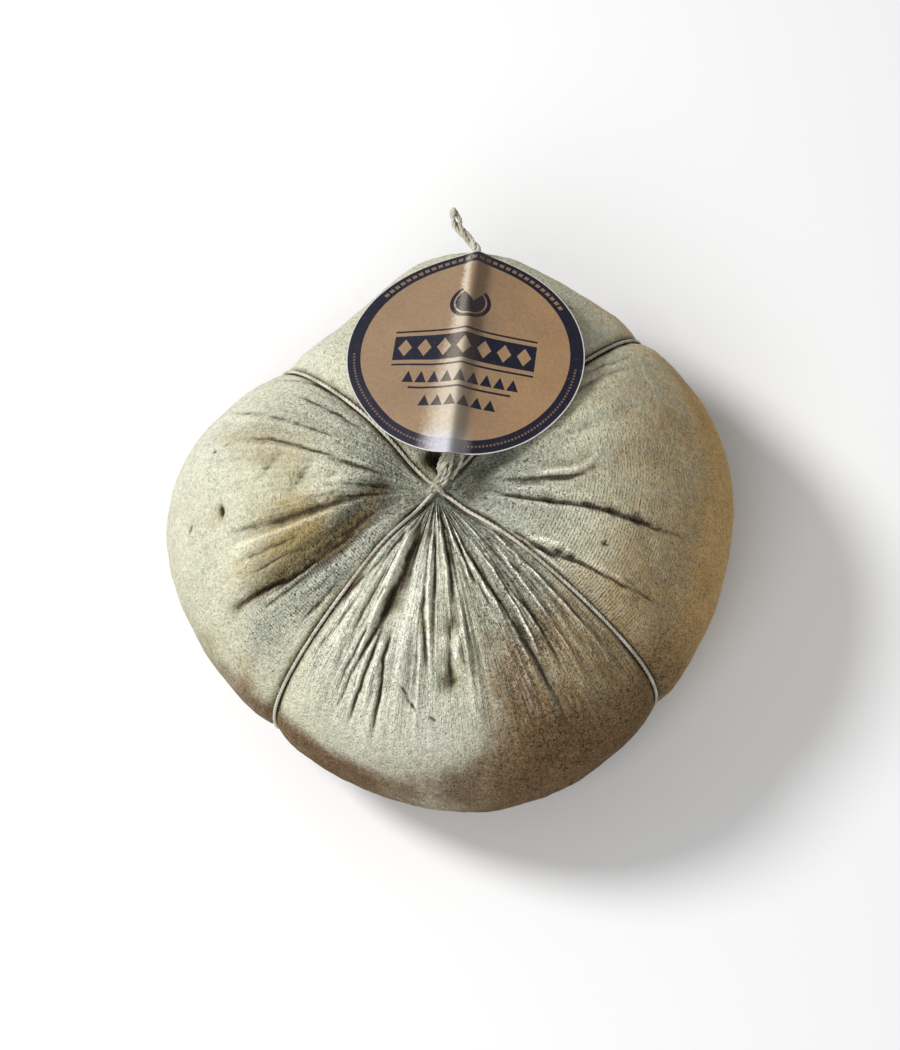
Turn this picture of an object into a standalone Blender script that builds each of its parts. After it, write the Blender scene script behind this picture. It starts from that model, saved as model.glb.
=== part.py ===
"""Small cloth-moulded goat cheese, tied like a bundle with cotton twine.

The cheese lies on its flat base with the gathered face up. Two loops of twine cross under the
base and are knotted in the hollow of the face. A twisted hanging loop runs from the knot to
the far rim, and a round paper label is bent over it.

Metres, +Z up, +X to the right and +Y away from the viewer. The origin is on the flat base.
"""
import math

import bmesh
import bpy
import numpy as np
from mathutils import Vector

OBJECT_NAME = "cheese_wheel"

# Body of the cheese
GIRTH_RADIUS = 0.1035        # mean radius at the widest level
CREST_HEIGHT = 0.0970        # height of the face before the gather pulls it in
GIRTH_HEIGHT = 0.0380        # level of the widest section
FACE_FULLNESS = 2.25         # exponent of the rounded face, 2 is an ellipse
BASE_FULLNESS = 2.7          # exponent of the rounded lower edge
BASE_SINK = 1.035            # the lower dome is cut off flat at the base by this excess

# The gather in the middle of the face, where the cloth was tied
GATHER_X, GATHER_Y = -0.0045, -0.0010
GATHER_DEPTH = 0.0140
GATHER_RADIUS = 0.0210

# How the rim is pinched in or bulges out: azimuth, pull, spread in degrees
RIM_PINCHES = (
    (54.0, 0.0045, 27.0),
    (127.0, 0.0205, 35.0),
    (227.0, 0.0085, 39.0),
    (328.0, 0.0065, 36.0),
    (90.0, -0.0070, 20.0),
)
PINCH_SQUARENESS = 2.4       # exponent of a pinch along the rim, 2 is a bell

# Polar angles, in radians, between which forms of the face and of the sides fade out
FACE_FADE_START, FACE_FADE = 1.60, 0.25
SIDE_FADE_START, SIDE_FADE = 2.6, 0.5
BASE_START = 2.2

# Twine: each loop runs over the face at its first azimuth and comes back at its second
TWINE_DIAMETER = 0.0022
TWINE_LOOPS = ((44.5, 229.0), (137.5, 319.0))
TWINE_BITE = 0.0011          # how far the twine presses into the rind
TWINE_FIT = 0.0003           # free space round the twine in its groove
VALLEY_DEPTH = 0.0016        # the rind dips towards the twine
VALLEY_HALF_WIDTH = 0.0060
CROSSING_X, CROSSING_Y = 0.0020, -0.0160
CROSSING_DIMPLE = 0.0030     # hollow of the base where the two loops cross
CROSSING_RADIUS = 0.0070
TWINE_STATION = 0.0080       # distance between two points of a route
TWINE_TOP = 0.0008           # height of the twine's middle above the rind in the gather
GROOVE_MARGIN = 0.0004       # the groove is cut this much wider than the twine all round
VALLEY_START = 0.0120        # distance from the gather where the valleys are at full depth
HUMP_HEIGHT = 0.00176        # one loop passes over the other under the base
HUMP_LENGTH = 0.0060
UNDERSIDE_LEVEL = 0.0066     # the part of a loop that lies below this runs under the base
FLOOR_LEVEL = 0.0044         # and its groove is open to the floor where it lies below this

# Knot
KNOT_CORE = (0.0030, 0.0026, 0.0024)
KNOT_WRAP_RADIUS = 0.0027
KNOT_LIFT = 0.0024

# Hanging loop of two twisted strands, from the knot to its free tip
HANGER_DIAMETER = 0.0038
HANGER_STATION = 0.0080
HANGER_ROUTE = (
    (-0.0036, 0.0036, 0.0878), (-0.0020, 0.0070, 0.0905), (-0.0004, 0.0115, 0.0932),
    (0.0008, 0.0175, 0.0950), (0.0018, 0.0245, 0.0960), (0.0028, 0.0330, 0.0963),
    (0.0038, 0.0410, 0.0956), (0.0048, 0.0490, 0.0942), (0.0058, 0.0570, 0.0921),
    (0.0068, 0.0650, 0.0894), (0.0078, 0.0730, 0.0860), (0.0088, 0.0805, 0.0818),
    (0.0097, 0.0870, 0.0772), (0.0099, 0.0925, 0.0728), (0.0088, 0.0970, 0.0700),
    (0.0066, 0.1005, 0.0686), (0.0042, 0.1040, 0.0678), (0.0022, 0.1080, 0.0672),
    (0.0012, 0.1135, 0.0668),
)

# Round paper label, bent over the hanging loop and creased along it
LABEL_DIAMETER = 0.0840
LABEL_THICKNESS = 0.0004
LABEL_CENTRE = (0.0049, 0.0474, 0.0972)
LABEL_TURN = 7.1             # the crease leans this many degrees clockwise, seen from above
LABEL_TILT = 10.3            # the crease falls towards the far rim at the centre, in degrees
LABEL_BEND_RADIUS = 0.180    # and bends down along it
LABEL_LEFT_FALL = 15.5       # fall of the two halves away from the crease, in degrees
LABEL_RIGHT_FALL = 7.0
LABEL_CREASE_RADIUS = 0.0015
LABEL_GAP = 0.0018           # least height above the rind, clear of the twine
LABEL_EDGE_POINTS = 56
LABEL_STRIPS = (0.0012, 0.0035, 0.0080, 0.0160, 0.0250, 0.0340)

# Folds of the face, radiating from the gather.
# Azimuth at the inner and outer end, distance of those ends from the gather, depth, half width
FOLDS = (
    (216.0, 209.0, 0.012, 0.088, 0.0070, 0.0055),
    (189.0, 195.0, 0.014, 0.080, 0.0036, 0.0042),
    (170.0, 164.0, 0.006, 0.070, 0.0024, 0.0030),
    (152.0, 150.0, 0.010, 0.085, 0.0016, 0.0032),
    (348.0, 349.0, 0.008, 0.086, 0.0034, 0.0024),
    (321.5, 333.0, 0.030, 0.088, 0.0026, 0.0024),
    (10.0, 4.0, 0.010, 0.056, 0.0024, 0.0034),
    (250.0, 243.5, 0.010, 0.084, 0.0062, 0.0028),
    (256.0, 252.0, 0.030, 0.086, 0.0036, 0.0020),
    (238.5, 236.5, 0.024, 0.078, 0.0022, 0.0018),
    (262.5, 262.0, 0.008, 0.060, 0.0026, 0.0018),
    (271.5, 270.5, 0.008, 0.078, 0.0034, 0.0026),
    (281.0, 281.5, 0.010, 0.062, 0.0026, 0.0018),
    (286.0, 295.5, 0.010, 0.088, 0.0042, 0.0024),
    (299.0, 302.5, 0.022, 0.082, 0.0026, 0.0020),
    (310.0, 312.5, 0.026, 0.074, 0.0022, 0.0018),
)
FOLD_SHOULDER = 0.30         # cloth pushed up on both sides of a fold, as a share of its depth
SHOULDER_OFFSET = 2.1        # distance of that shoulder from the fold, in half widths
FOLD_SQUARENESS = 1.5        # exponent of a fold's cross section
FOLD_RISE, FOLD_FALL = 0.25, 0.35    # shares of a fold's length where it deepens and runs out

# Broad swells and hollows of the face: azimuth, distance from the gather, height, spread
SWELLS = (
    (182.0, 0.066, 0.0022, 0.0170),
    (203.0, 0.074, 0.0024, 0.0110),
    (228.0, 0.030, 0.0012, 0.0100),
    (262.0, 0.052, 0.0026, 0.0100),
    (273.5, 0.058, 0.0026, 0.0060),
    (271.0, 0.070, -0.0030, 0.0042),
    (292.0, 0.080, 0.0016, 0.0140),
    (340.0, 0.060, 0.0018, 0.0150),
    (20.0, 0.060, 0.0016, 0.0170),
    (94.0, 0.0095, -0.0060, 0.0042),
    (185.5, 0.077, -0.0022, 0.0026),
)

# Facets
SPHERE_SEGMENTS = 320
SPHERE_RINGS = 150
RIND_FACETS = 6400
SNAP_TO_BASE = 0.0002


def wrap_degrees(angle):
    """Signed difference of azimuths, between -180 and 180 degrees."""
    return (angle + 180.0) % 360.0 - 180.0


def rim_radius(azimuth):
    """Radius of the widest section at an azimuth in degrees."""
    radius = np.full_like(azimuth, GIRTH_RADIUS)
    for centre, pull, spread in RIM_PINCHES:
        radius = radius - pull * np.exp(
            -np.abs(wrap_degrees(azimuth - centre) / spread) ** PINCH_SQUARENESS)
    return radius


def profile(polar):
    """Share of the rim radius and height of the meridian, polar is 0 at the gather."""
    on_face = polar <= math.pi / 2
    power = np.where(on_face, 2.0 / FACE_FULLNESS, 2.0 / BASE_FULLNESS)
    share = np.clip(np.sin(polar), 0.0, 1.0) ** power
    rise = np.abs(np.cos(polar)) ** power
    top = GIRTH_HEIGHT + (CREST_HEIGHT - GIRTH_HEIGHT) * rise
    bottom = GIRTH_HEIGHT - GIRTH_HEIGHT * BASE_SINK * rise
    return share, np.where(on_face, top, bottom)


def smooth_form(azimuth, polar):
    """The cheese without folds: the point of a meridian at a polar angle."""
    share, height = profile(polar)
    reach = rim_radius(azimuth) * share
    turn = np.radians(azimuth)
    shift = np.where(polar <= math.pi / 2, 1.0 - share, 0.0)
    x = reach * np.cos(turn) + GATHER_X * shift
    y = reach * np.sin(turn) + GATHER_Y * shift
    funnel = GATHER_DEPTH * np.exp(-(reach / GATHER_RADIUS) ** 2)
    z = height - np.where(polar <= math.pi / 2, funnel, 0.0)
    return np.stack([x, y, z], -1)


def smooth_normal(azimuth, polar):
    """Outward direction of the smooth form, from two small steps on it."""
    step = 0.004
    polar = np.clip(polar, 2 * step, math.pi - 2 * step)
    along = smooth_form(azimuth, polar + step) - smooth_form(azimuth, polar - step)
    across = smooth_form(azimuth + step * 60, polar) - smooth_form(azimuth - step * 60, polar)
    normal = np.cross(along, across)
    return normal / np.linalg.norm(normal, axis=-1, keepdims=True)


def soft_step(value):
    """Smooth ramp from 0 to 1."""
    value = np.clip(value, 0.0, 1.0)
    return value * value * (3.0 - 2.0 * value)


def fold_relief(azimuth, distance):
    """Depth of all radial folds of the face at a place, negative is inwards."""
    relief = np.zeros_like(azimuth)
    for inner, outer, start, end, depth, half_width in FOLDS:
        along = (distance - start) / (end - start)
        centre = inner + (outer - inner) * np.clip(along, 0.0, 1.0)
        aside = np.radians(wrap_degrees(azimuth - centre)) * distance
        fade = soft_step(along / FOLD_RISE) * soft_step((1.0 - along) / FOLD_FALL)
        slot = np.exp(-np.abs(aside / half_width) ** FOLD_SQUARENESS)
        offset = np.abs(aside) / half_width - SHOULDER_OFFSET
        shoulder = np.exp(-offset ** 2)
        relief += depth * fade * (FOLD_SHOULDER * shoulder - slot)
    return relief


def swell_relief(azimuth, distance):
    """Height of the broad swells and hollows of the face."""
    turn = np.radians(azimuth)
    x, y = distance * np.cos(turn), distance * np.sin(turn)
    relief = np.zeros_like(azimuth)
    for centre, reach, height, spread in SWELLS:
        away_x = x - reach * math.cos(math.radians(centre))
        away_y = y - reach * math.sin(math.radians(centre))
        relief += height * np.exp(-(away_x ** 2 + away_y ** 2) / spread ** 2)
    return relief


def valley_relief(azimuth, distance, polar):
    """Dip of the rind along the twine, on the face and down the sides."""
    fade = soft_step(distance / VALLEY_START)
    fade = fade * soft_step((SIDE_FADE_START - polar) / SIDE_FADE)
    relief = np.zeros_like(azimuth)
    for loop in TWINE_LOOPS:
        for centre in loop:
            aside = np.radians(wrap_degrees(azimuth - centre)) * distance
            relief -= VALLEY_DEPTH * fade * np.exp(-(aside / VALLEY_HALF_WIDTH) ** 2)
    return relief


def cheese_form(azimuth, polar):
    """The rind with its folds, swells and twine valleys, flat at the base."""
    azimuth, polar = np.broadcast_arrays(np.asarray(azimuth, float), np.asarray(polar, float))
    share, _ = profile(polar)
    distance = share * rim_radius(azimuth)
    on_face = soft_step((FACE_FADE_START - polar) / FACE_FADE)
    relief = on_face * (fold_relief(azimuth, distance) + swell_relief(azimuth, distance))
    relief = relief + valley_relief(azimuth, distance, polar)
    point = smooth_form(azimuth, polar) + smooth_normal(azimuth, polar) * relief[..., None]
    from_crossing = np.hypot(point[..., 0] - CROSSING_X, point[..., 1] - CROSSING_Y)
    dimple = CROSSING_DIMPLE * np.exp(-(from_crossing / CROSSING_RADIUS) ** 2)
    floor = np.where(polar > BASE_START, np.where(dimple > SNAP_TO_BASE, dimple, 0.0), 0.0)
    point[..., 2] = np.maximum(point[..., 2], floor)
    return point


def rind_height(x, y):
    """Height of the smooth face above a place of the ground, for what lies on the face."""
    x, y = np.broadcast_arrays(np.asarray(x, float), np.asarray(y, float))
    shift = np.ones_like(x)
    for _ in range(12):
        away_x, away_y = x - GATHER_X * shift, y - GATHER_Y * shift
        azimuth = np.degrees(np.arctan2(away_y, away_x))
        share = np.clip(np.hypot(away_x, away_y) / rim_radius(azimuth), 0.0, 0.9995)
        shift = 1.0 - share
    polar = np.arcsin(share ** (FACE_FULLNESS / 2.0))
    return cheese_form(azimuth, polar)[..., 2]


def material(name, colour, roughness):
    """Plain Principled material of a sub-part."""
    made = bpy.data.materials.new(name)
    made.use_nodes = True
    shader = made.node_tree.nodes["Principled BSDF"]
    shader.inputs["Base Color"].default_value = (*colour, 1.0)
    shader.inputs["Roughness"].default_value = roughness
    shader.inputs["Metallic"].default_value = 0.0
    made.diffuse_color = (*colour, 1.0)
    return made


def make_collection(name):
    """New collection in the scene."""
    collection = bpy.data.collections.new(name)
    bpy.context.scene.collection.children.link(collection)
    return collection


def move_to(collection, thing):
    """Keep an object in one collection only."""
    for holder in list(thing.users_collection):
        holder.objects.unlink(thing)
    collection.objects.link(thing)


def evaluated_copy(thing, name, collection):
    """Mesh object with the modifiers or the curve bevel of another applied, which is removed."""
    bpy.context.view_layer.update()
    graph = bpy.context.evaluated_depsgraph_get()
    mesh = bpy.data.meshes.new_from_object(thing.evaluated_get(graph))
    place = thing.matrix_world.copy()
    bpy.data.objects.remove(thing)
    copy = bpy.data.objects.new(name, mesh)
    copy.matrix_world = place
    collection.objects.link(copy)
    weld(mesh)
    return copy


def weld(mesh):
    """Join the loose caps of a mesh made from a curve."""
    cage = bmesh.new()
    cage.from_mesh(mesh)
    bmesh.ops.remove_doubles(cage, verts=cage.verts, dist=0.00001)
    cage.to_mesh(mesh)
    cage.free()


def tube(name, points, radius, collection, closed=False, resolution=2):
    """Round tube through points, as a mesh with welded caps."""
    curve = bpy.data.curves.new(name, "CURVE")
    curve.dimensions = "3D"
    curve.bevel_depth = radius
    curve.bevel_resolution = resolution
    curve.use_fill_caps = not closed
    spline = curve.splines.new("POLY")
    spline.points.add(len(points) - 1)
    for control, point in zip(spline.points, points):
        control.co = (*point, 1.0)
    spline.use_cyclic_u = closed
    thing = bpy.data.objects.new(name, curve)
    collection.objects.link(thing)
    return evaluated_copy(thing, name, collection)


def twine_run(azimuth):
    """Centre line of one quarter of the tie, from the gather down to the base crossing."""
    polar = np.concatenate([np.linspace(0.03, 0.30, 5), np.linspace(0.36, math.pi, 200)])
    surface = cheese_form(azimuth, polar)
    normal = smooth_normal(azimuth, polar)
    line = surface + normal * (TWINE_DIAMETER / 2.0 - TWINE_BITE)
    lowest = TWINE_DIAMETER / 2.0 + TWINE_FIT
    turned_under = np.argmax(line[:, 2] < lowest)
    leave = line[turned_under]
    steps = np.linspace(0.0, 1.0, 40)[1:, None]
    goal = np.array([CROSSING_X, CROSSING_Y, lowest])
    under = leave * (1.0 - steps) + goal * steps
    under[:, 2] = lowest
    return np.concatenate([line[:turned_under], under])


def smooth_route(points, steps=12):
    """Smooth curve through points chosen by hand."""
    points = np.asarray(points, float)
    padded = np.concatenate([2 * points[:1] - points[1:2], points, 2 * points[-1:] - points[-2:-1]])
    share = np.linspace(0.0, 1.0, steps, endpoint=False)[:, None]
    line = []
    for before, start, end, after in zip(padded, padded[1:], padded[2:], padded[3:]):
        line.append(0.5 * (2 * start + (end - before) * share
                           + (2 * before - 5 * start + 4 * end - after) * share ** 2
                           + (3 * start - before - 3 * end + after) * share ** 3))
    return np.concatenate(line + [points[-1:]])


def respaced(line, spacing):
    """Points of a polyline at an even distance, both ends kept."""
    lengths = np.concatenate([[0.0], np.cumsum(np.linalg.norm(np.diff(line, axis=0), axis=1))])
    count = max(2, round(lengths[-1] / spacing) + 1)
    stations = np.linspace(0.0, lengths[-1], count)
    return np.stack([np.interp(stations, lengths, line[:, axis]) for axis in range(3)], -1)


def twine_loops():
    """The two closed routes of the tie. The first passes above the second at the crossing."""
    routes = []
    for index, (outward, backward) in enumerate(TWINE_LOOPS):
        going = respaced(twine_run(outward), TWINE_STATION)
        coming = respaced(twine_run(backward), TWINE_STATION)[::-1]
        top = np.array([[GATHER_X, GATHER_Y, rind_height(GATHER_X, GATHER_Y) + TWINE_TOP]])
        route = np.concatenate([top, going[1:], coming[1:-1]])
        if index == 0:
            near = np.hypot(route[:, 0] - CROSSING_X, route[:, 1] - CROSSING_Y)
            hump = np.exp(-(near / HUMP_LENGTH) ** 2) * (route[:, 2] < UNDERSIDE_LEVEL)
            route[:, 2] += hump * HUMP_HEIGHT
        routes.append(route)
    return routes


def boolean(target, operation, cutters):
    """Exact Boolean with a collection of cutters, left live on the target."""
    modifier = target.modifiers.new(operation.lower(), "BOOLEAN")
    modifier.operation = operation
    modifier.operand_type = "COLLECTION"
    modifier.collection = cutters
    modifier.solver = "EXACT"
    return modifier


def build_cheese(parts, cutters):
    """Body of the cheese: a sphere moved onto the form, thinned, grooved for the twine."""
    bpy.ops.mesh.primitive_uv_sphere_add(segments=SPHERE_SEGMENTS, ring_count=SPHERE_RINGS)
    ball = bpy.context.object
    mesh = ball.data
    places = np.empty(len(mesh.vertices) * 3)
    mesh.vertices.foreach_get("co", places)
    places = places.reshape(-1, 3)
    polar = np.arccos(np.clip(places[:, 2], -1.0, 1.0))
    azimuth = np.degrees(np.arctan2(places[:, 1], places[:, 0]))
    mesh.vertices.foreach_set("co", cheese_form(azimuth, polar).ravel())
    mesh.update()
    thin = ball.modifiers.new("thin", "DECIMATE")
    thin.decimate_type = "COLLAPSE"
    thin.ratio = RIND_FACETS / (2 * SPHERE_SEGMENTS * (SPHERE_RINGS - 1))
    move_to(parts, ball)
    cheese = evaluated_copy(ball, "cheese", parts)
    for vertex in cheese.data.vertices:
        if vertex.co.z < SNAP_TO_BASE:
            vertex.co.z = 0.0
    boolean(cheese, "DIFFERENCE", cutters)
    cheese.data.materials.clear()
    cheese.data.materials.append(material("rind", (0.52, 0.48, 0.34), 0.75))
    return cheese


def build_twine(parts, cutters, guides):
    """The tie as one solid: two loops, joined at the crossing and in the knot."""
    first, second = twine_loops()
    radius = TWINE_DIAMETER / 2.0
    groove_radius = radius + GROOVE_MARGIN
    for index, route in enumerate((first, second)):
        tube(f"groove_{index}", route, groove_radius, cutters, closed=True)
        under = route[route[:, 2] < UNDERSIDE_LEVEL]
        under[:, 2] = np.where(under[:, 2] < FLOOR_LEVEL, 0.0, under[:, 2])
        tube(f"groove_mouth_{index}", under, groove_radius, cutters)
    twine = tube("tie_twine", first, radius, parts, closed=True)
    tube("second_loop", second, radius, guides, closed=True)
    knot = Vector((GATHER_X, GATHER_Y, float(rind_height(GATHER_X, GATHER_Y)) + KNOT_LIFT))
    bpy.ops.mesh.primitive_ico_sphere_add(
        subdivisions=2, radius=KNOT_WRAP_RADIUS + radius + 3.0 * TWINE_FIT, location=knot)
    move_to(cutters, bpy.context.object)
    bpy.ops.mesh.primitive_ico_sphere_add(subdivisions=2, radius=1.0, location=knot)
    core = bpy.context.object
    core.scale = KNOT_CORE
    for turn in (35.0, -40.0):
        bpy.ops.mesh.primitive_torus_add(
            major_radius=KNOT_WRAP_RADIUS, minor_radius=radius, major_segments=14,
            minor_segments=7, location=knot,
            rotation=(math.radians(90.0 - turn / 3.0), 0.0, math.radians(turn)))
        move_to(guides, bpy.context.object)
    move_to(guides, core)
    for helper in (*guides.objects, *cutters.objects):
        helper.hide_render = True
        helper.display_type = "WIRE"
    boolean(twine, "UNION", guides)
    twine.data.materials.clear()
    twine.data.materials.append(material("cotton", (0.80, 0.76, 0.64), 0.85))
    return twine


def build_hanger(parts):
    """The twisted hanging loop as one plain cord."""
    route = respaced(smooth_route(HANGER_ROUTE), HANGER_STATION)
    hanger = tube("hanging_loop", route, HANGER_DIAMETER / 2.0, parts)
    hanger.data.materials.clear()
    hanger.data.materials.append(material("twisted_cotton", (0.82, 0.78, 0.66), 0.85))
    return hanger


def label_form(across, along):
    """Place of a point of the flat card once it is bent over the hanging loop."""
    turn = math.radians(LABEL_TURN)
    slope = math.radians(LABEL_TILT) + along / LABEL_BEND_RADIUS
    start = math.radians(LABEL_TILT)
    forward = LABEL_BEND_RADIUS * (math.sin(slope) - math.sin(start))
    rise = LABEL_BEND_RADIUS * (math.cos(slope) - math.cos(start))
    fall = math.radians(LABEL_LEFT_FALL if across < 0.0 else LABEL_RIGHT_FALL)
    from_crease = math.hypot(across, LABEL_CREASE_RADIUS) - LABEL_CREASE_RADIUS
    sideways = across * math.cos(fall)
    drop = from_crease * math.sin(fall)
    forward -= drop * math.sin(slope)
    rise -= drop * math.cos(slope)
    x = LABEL_CENTRE[0] + forward * math.sin(turn) + sideways * math.cos(turn)
    y = LABEL_CENTRE[1] + forward * math.cos(turn) - sideways * math.sin(turn)
    lowest = float(rind_height(x, y)) + LABEL_GAP
    return x, y, max(LABEL_CENTRE[2] + rise, lowest)


def build_label(parts):
    """Round card: a disc cut into strips, bent over the face and given its thickness."""
    radius = LABEL_DIAMETER / 2.0
    bpy.ops.mesh.primitive_circle_add(vertices=LABEL_EDGE_POINTS, radius=radius,
                                      fill_type="NGON")
    card = bpy.context.object
    cage = bmesh.new()
    cage.from_mesh(card.data)
    cuts = [0.0] + [side * strip for strip in LABEL_STRIPS for side in (-1.0, 1.0)]
    for axis in (Vector((1.0, 0.0, 0.0)), Vector((0.0, 1.0, 0.0))):
        for cut in cuts:
            geometry = cage.verts[:] + cage.edges[:] + cage.faces[:]
            bmesh.ops.bisect_plane(cage, geom=geometry, dist=0.00001, plane_co=axis * cut,
                                   plane_no=axis)
    bmesh.ops.triangulate(cage, faces=cage.faces)
    for vertex in cage.verts:
        vertex.co = label_form(vertex.co.x, vertex.co.y)
    cage.to_mesh(card.data)
    cage.free()
    wall = card.modifiers.new("thickness", "SOLIDIFY")
    wall.thickness = LABEL_THICKNESS
    wall.offset = 0.0
    card.name = "paper_label"
    card.data.materials.append(material("kraft_paper", (0.60, 0.47, 0.31), 0.70))
    move_to(parts, card)
    return card


def main():
    for thing in list(bpy.data.objects):
        bpy.data.objects.remove(thing)
    parts = make_collection(OBJECT_NAME)
    cutters = make_collection("twine_grooves")
    guides = make_collection("twine_pieces")
    build_twine(parts, cutters, guides)
    build_cheese(parts, cutters)
    build_hanger(parts)
    build_label(parts)


main()
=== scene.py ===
"""Looks of the tied cheese: its folded rind, plied cotton twine and printed kraft label.

Lengths are in metres, unless a name says millimetres. Places on the rind are given round the
gather, the hollow where the cloth was tied: an azimuth in degrees, from +X over +Y, and a
distance from the gather.
"""
import itertools
import math

import bpy
import numpy as np
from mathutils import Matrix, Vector


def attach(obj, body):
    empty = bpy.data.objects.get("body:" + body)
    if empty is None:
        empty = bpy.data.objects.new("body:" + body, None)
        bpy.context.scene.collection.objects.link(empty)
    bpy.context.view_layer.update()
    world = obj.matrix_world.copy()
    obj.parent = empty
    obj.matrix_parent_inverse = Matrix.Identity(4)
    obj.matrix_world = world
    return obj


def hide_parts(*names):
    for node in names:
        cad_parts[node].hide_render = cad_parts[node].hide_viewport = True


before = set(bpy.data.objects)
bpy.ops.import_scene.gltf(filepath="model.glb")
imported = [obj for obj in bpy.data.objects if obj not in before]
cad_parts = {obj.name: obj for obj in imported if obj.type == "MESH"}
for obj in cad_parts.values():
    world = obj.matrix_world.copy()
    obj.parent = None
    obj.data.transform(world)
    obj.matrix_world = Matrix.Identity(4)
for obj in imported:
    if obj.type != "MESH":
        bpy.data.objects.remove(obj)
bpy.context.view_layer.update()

# Camera of the photograph
LENS = 100.0
SENSOR = 36.0
CAMERA_ELEVATION = 70.0
CAMERA_DISTANCE = 1.032
CAMERA_TARGET = Vector((0.0, 0.0, 0.045))

# Studio: name, azimuth, elevation, diameter and power of each lamp
LAMPS = (("key", 160.0, 45.0, 0.42, 21.5), ("fill", 246.0, 50.0, 1.0, 9.0))
LAMP_DISTANCE = 1.6
SKY_LIGHT = 0.32
FLOOR_COLOUR = (0.90, 0.90, 0.90)

# Body of the cheese, as in the solids
GIRTH_RADIUS = 0.1035
CREST_HEIGHT = 0.0970
GIRTH_HEIGHT = 0.0380
FACE_FULLNESS = 2.25
BASE_FULLNESS = 2.7
BASE_SINK = 1.035
GATHER_X, GATHER_Y = -0.0045, -0.0010
GATHER_DEPTH = 0.0140
GATHER_RADIUS = 0.0210
RIM_PINCHES = (
    (54.0, 0.0045, 27.0), (127.0, 0.0205, 35.0), (227.0, 0.0085, 39.0),
    (328.0, 0.0065, 36.0), (90.0, -0.0070, 20.0),
)
SWELLS = (
    (182.0, 0.066, 0.0022, 0.0170), (203.0, 0.074, 0.0024, 0.0110),
    (228.0, 0.030, 0.0012, 0.0100), (262.0, 0.052, 0.0026, 0.0100),
    (273.5, 0.058, 0.0026, 0.0060), (271.0, 0.070, -0.0016, 0.0042),
    (292.0, 0.080, 0.0016, 0.0140), (340.0, 0.060, 0.0018, 0.0150),
    (20.0, 0.060, 0.0016, 0.0170), (94.0, 0.0095, -0.0060, 0.0042),
)
TWINE_DIAMETER = 0.0022
TWINE_LOOPS = ((44.5, 229.0), (137.5, 319.0))
TWINE_BITE = 0.0011
TWINE_FIT = 0.0003
VALLEY_DEPTH = 0.0016
VALLEY_HALF_WIDTH = 0.0060
CROSSING_X, CROSSING_Y = 0.0020, -0.0160
CROSSING_DIMPLE = 0.0030
CROSSING_RADIUS = 0.0070
BASE_SNAP = 0.0002
KNOT_LIFT = 0.0024

# Hanging loop, as in the solids
HANGER_ROUTE = (
    (-0.0036, 0.0036, 0.0878), (-0.0020, 0.0070, 0.0905), (-0.0004, 0.0115, 0.0932),
    (0.0008, 0.0175, 0.0950), (0.0018, 0.0245, 0.0960), (0.0028, 0.0330, 0.0963),
    (0.0038, 0.0410, 0.0956), (0.0048, 0.0490, 0.0942), (0.0058, 0.0570, 0.0921),
    (0.0068, 0.0650, 0.0894), (0.0078, 0.0730, 0.0860), (0.0088, 0.0805, 0.0818),
    (0.0097, 0.0870, 0.0772), (0.0099, 0.0925, 0.0728), (0.0088, 0.0970, 0.0700),
    (0.0066, 0.1005, 0.0686), (0.0042, 0.1040, 0.0678), (0.0022, 0.1080, 0.0672),
    (0.0012, 0.1135, 0.0668),
)

# Label, as in the solids
LABEL_DIAMETER = 0.0840
LABEL_THICKNESS = 0.0004
LABEL_CENTRE = (0.0049, 0.0474, 0.0972)
LABEL_TURN = 7.1
LABEL_TILT = 10.3
LABEL_BEND_RADIUS = 0.180
LABEL_LEFT_FALL = 15.5
LABEL_RIGHT_FALL = 7.0
LABEL_CREASE_RADIUS = 0.0015
LABEL_GAP = 0.0018
LABEL_PINCH = 0.0024

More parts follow.
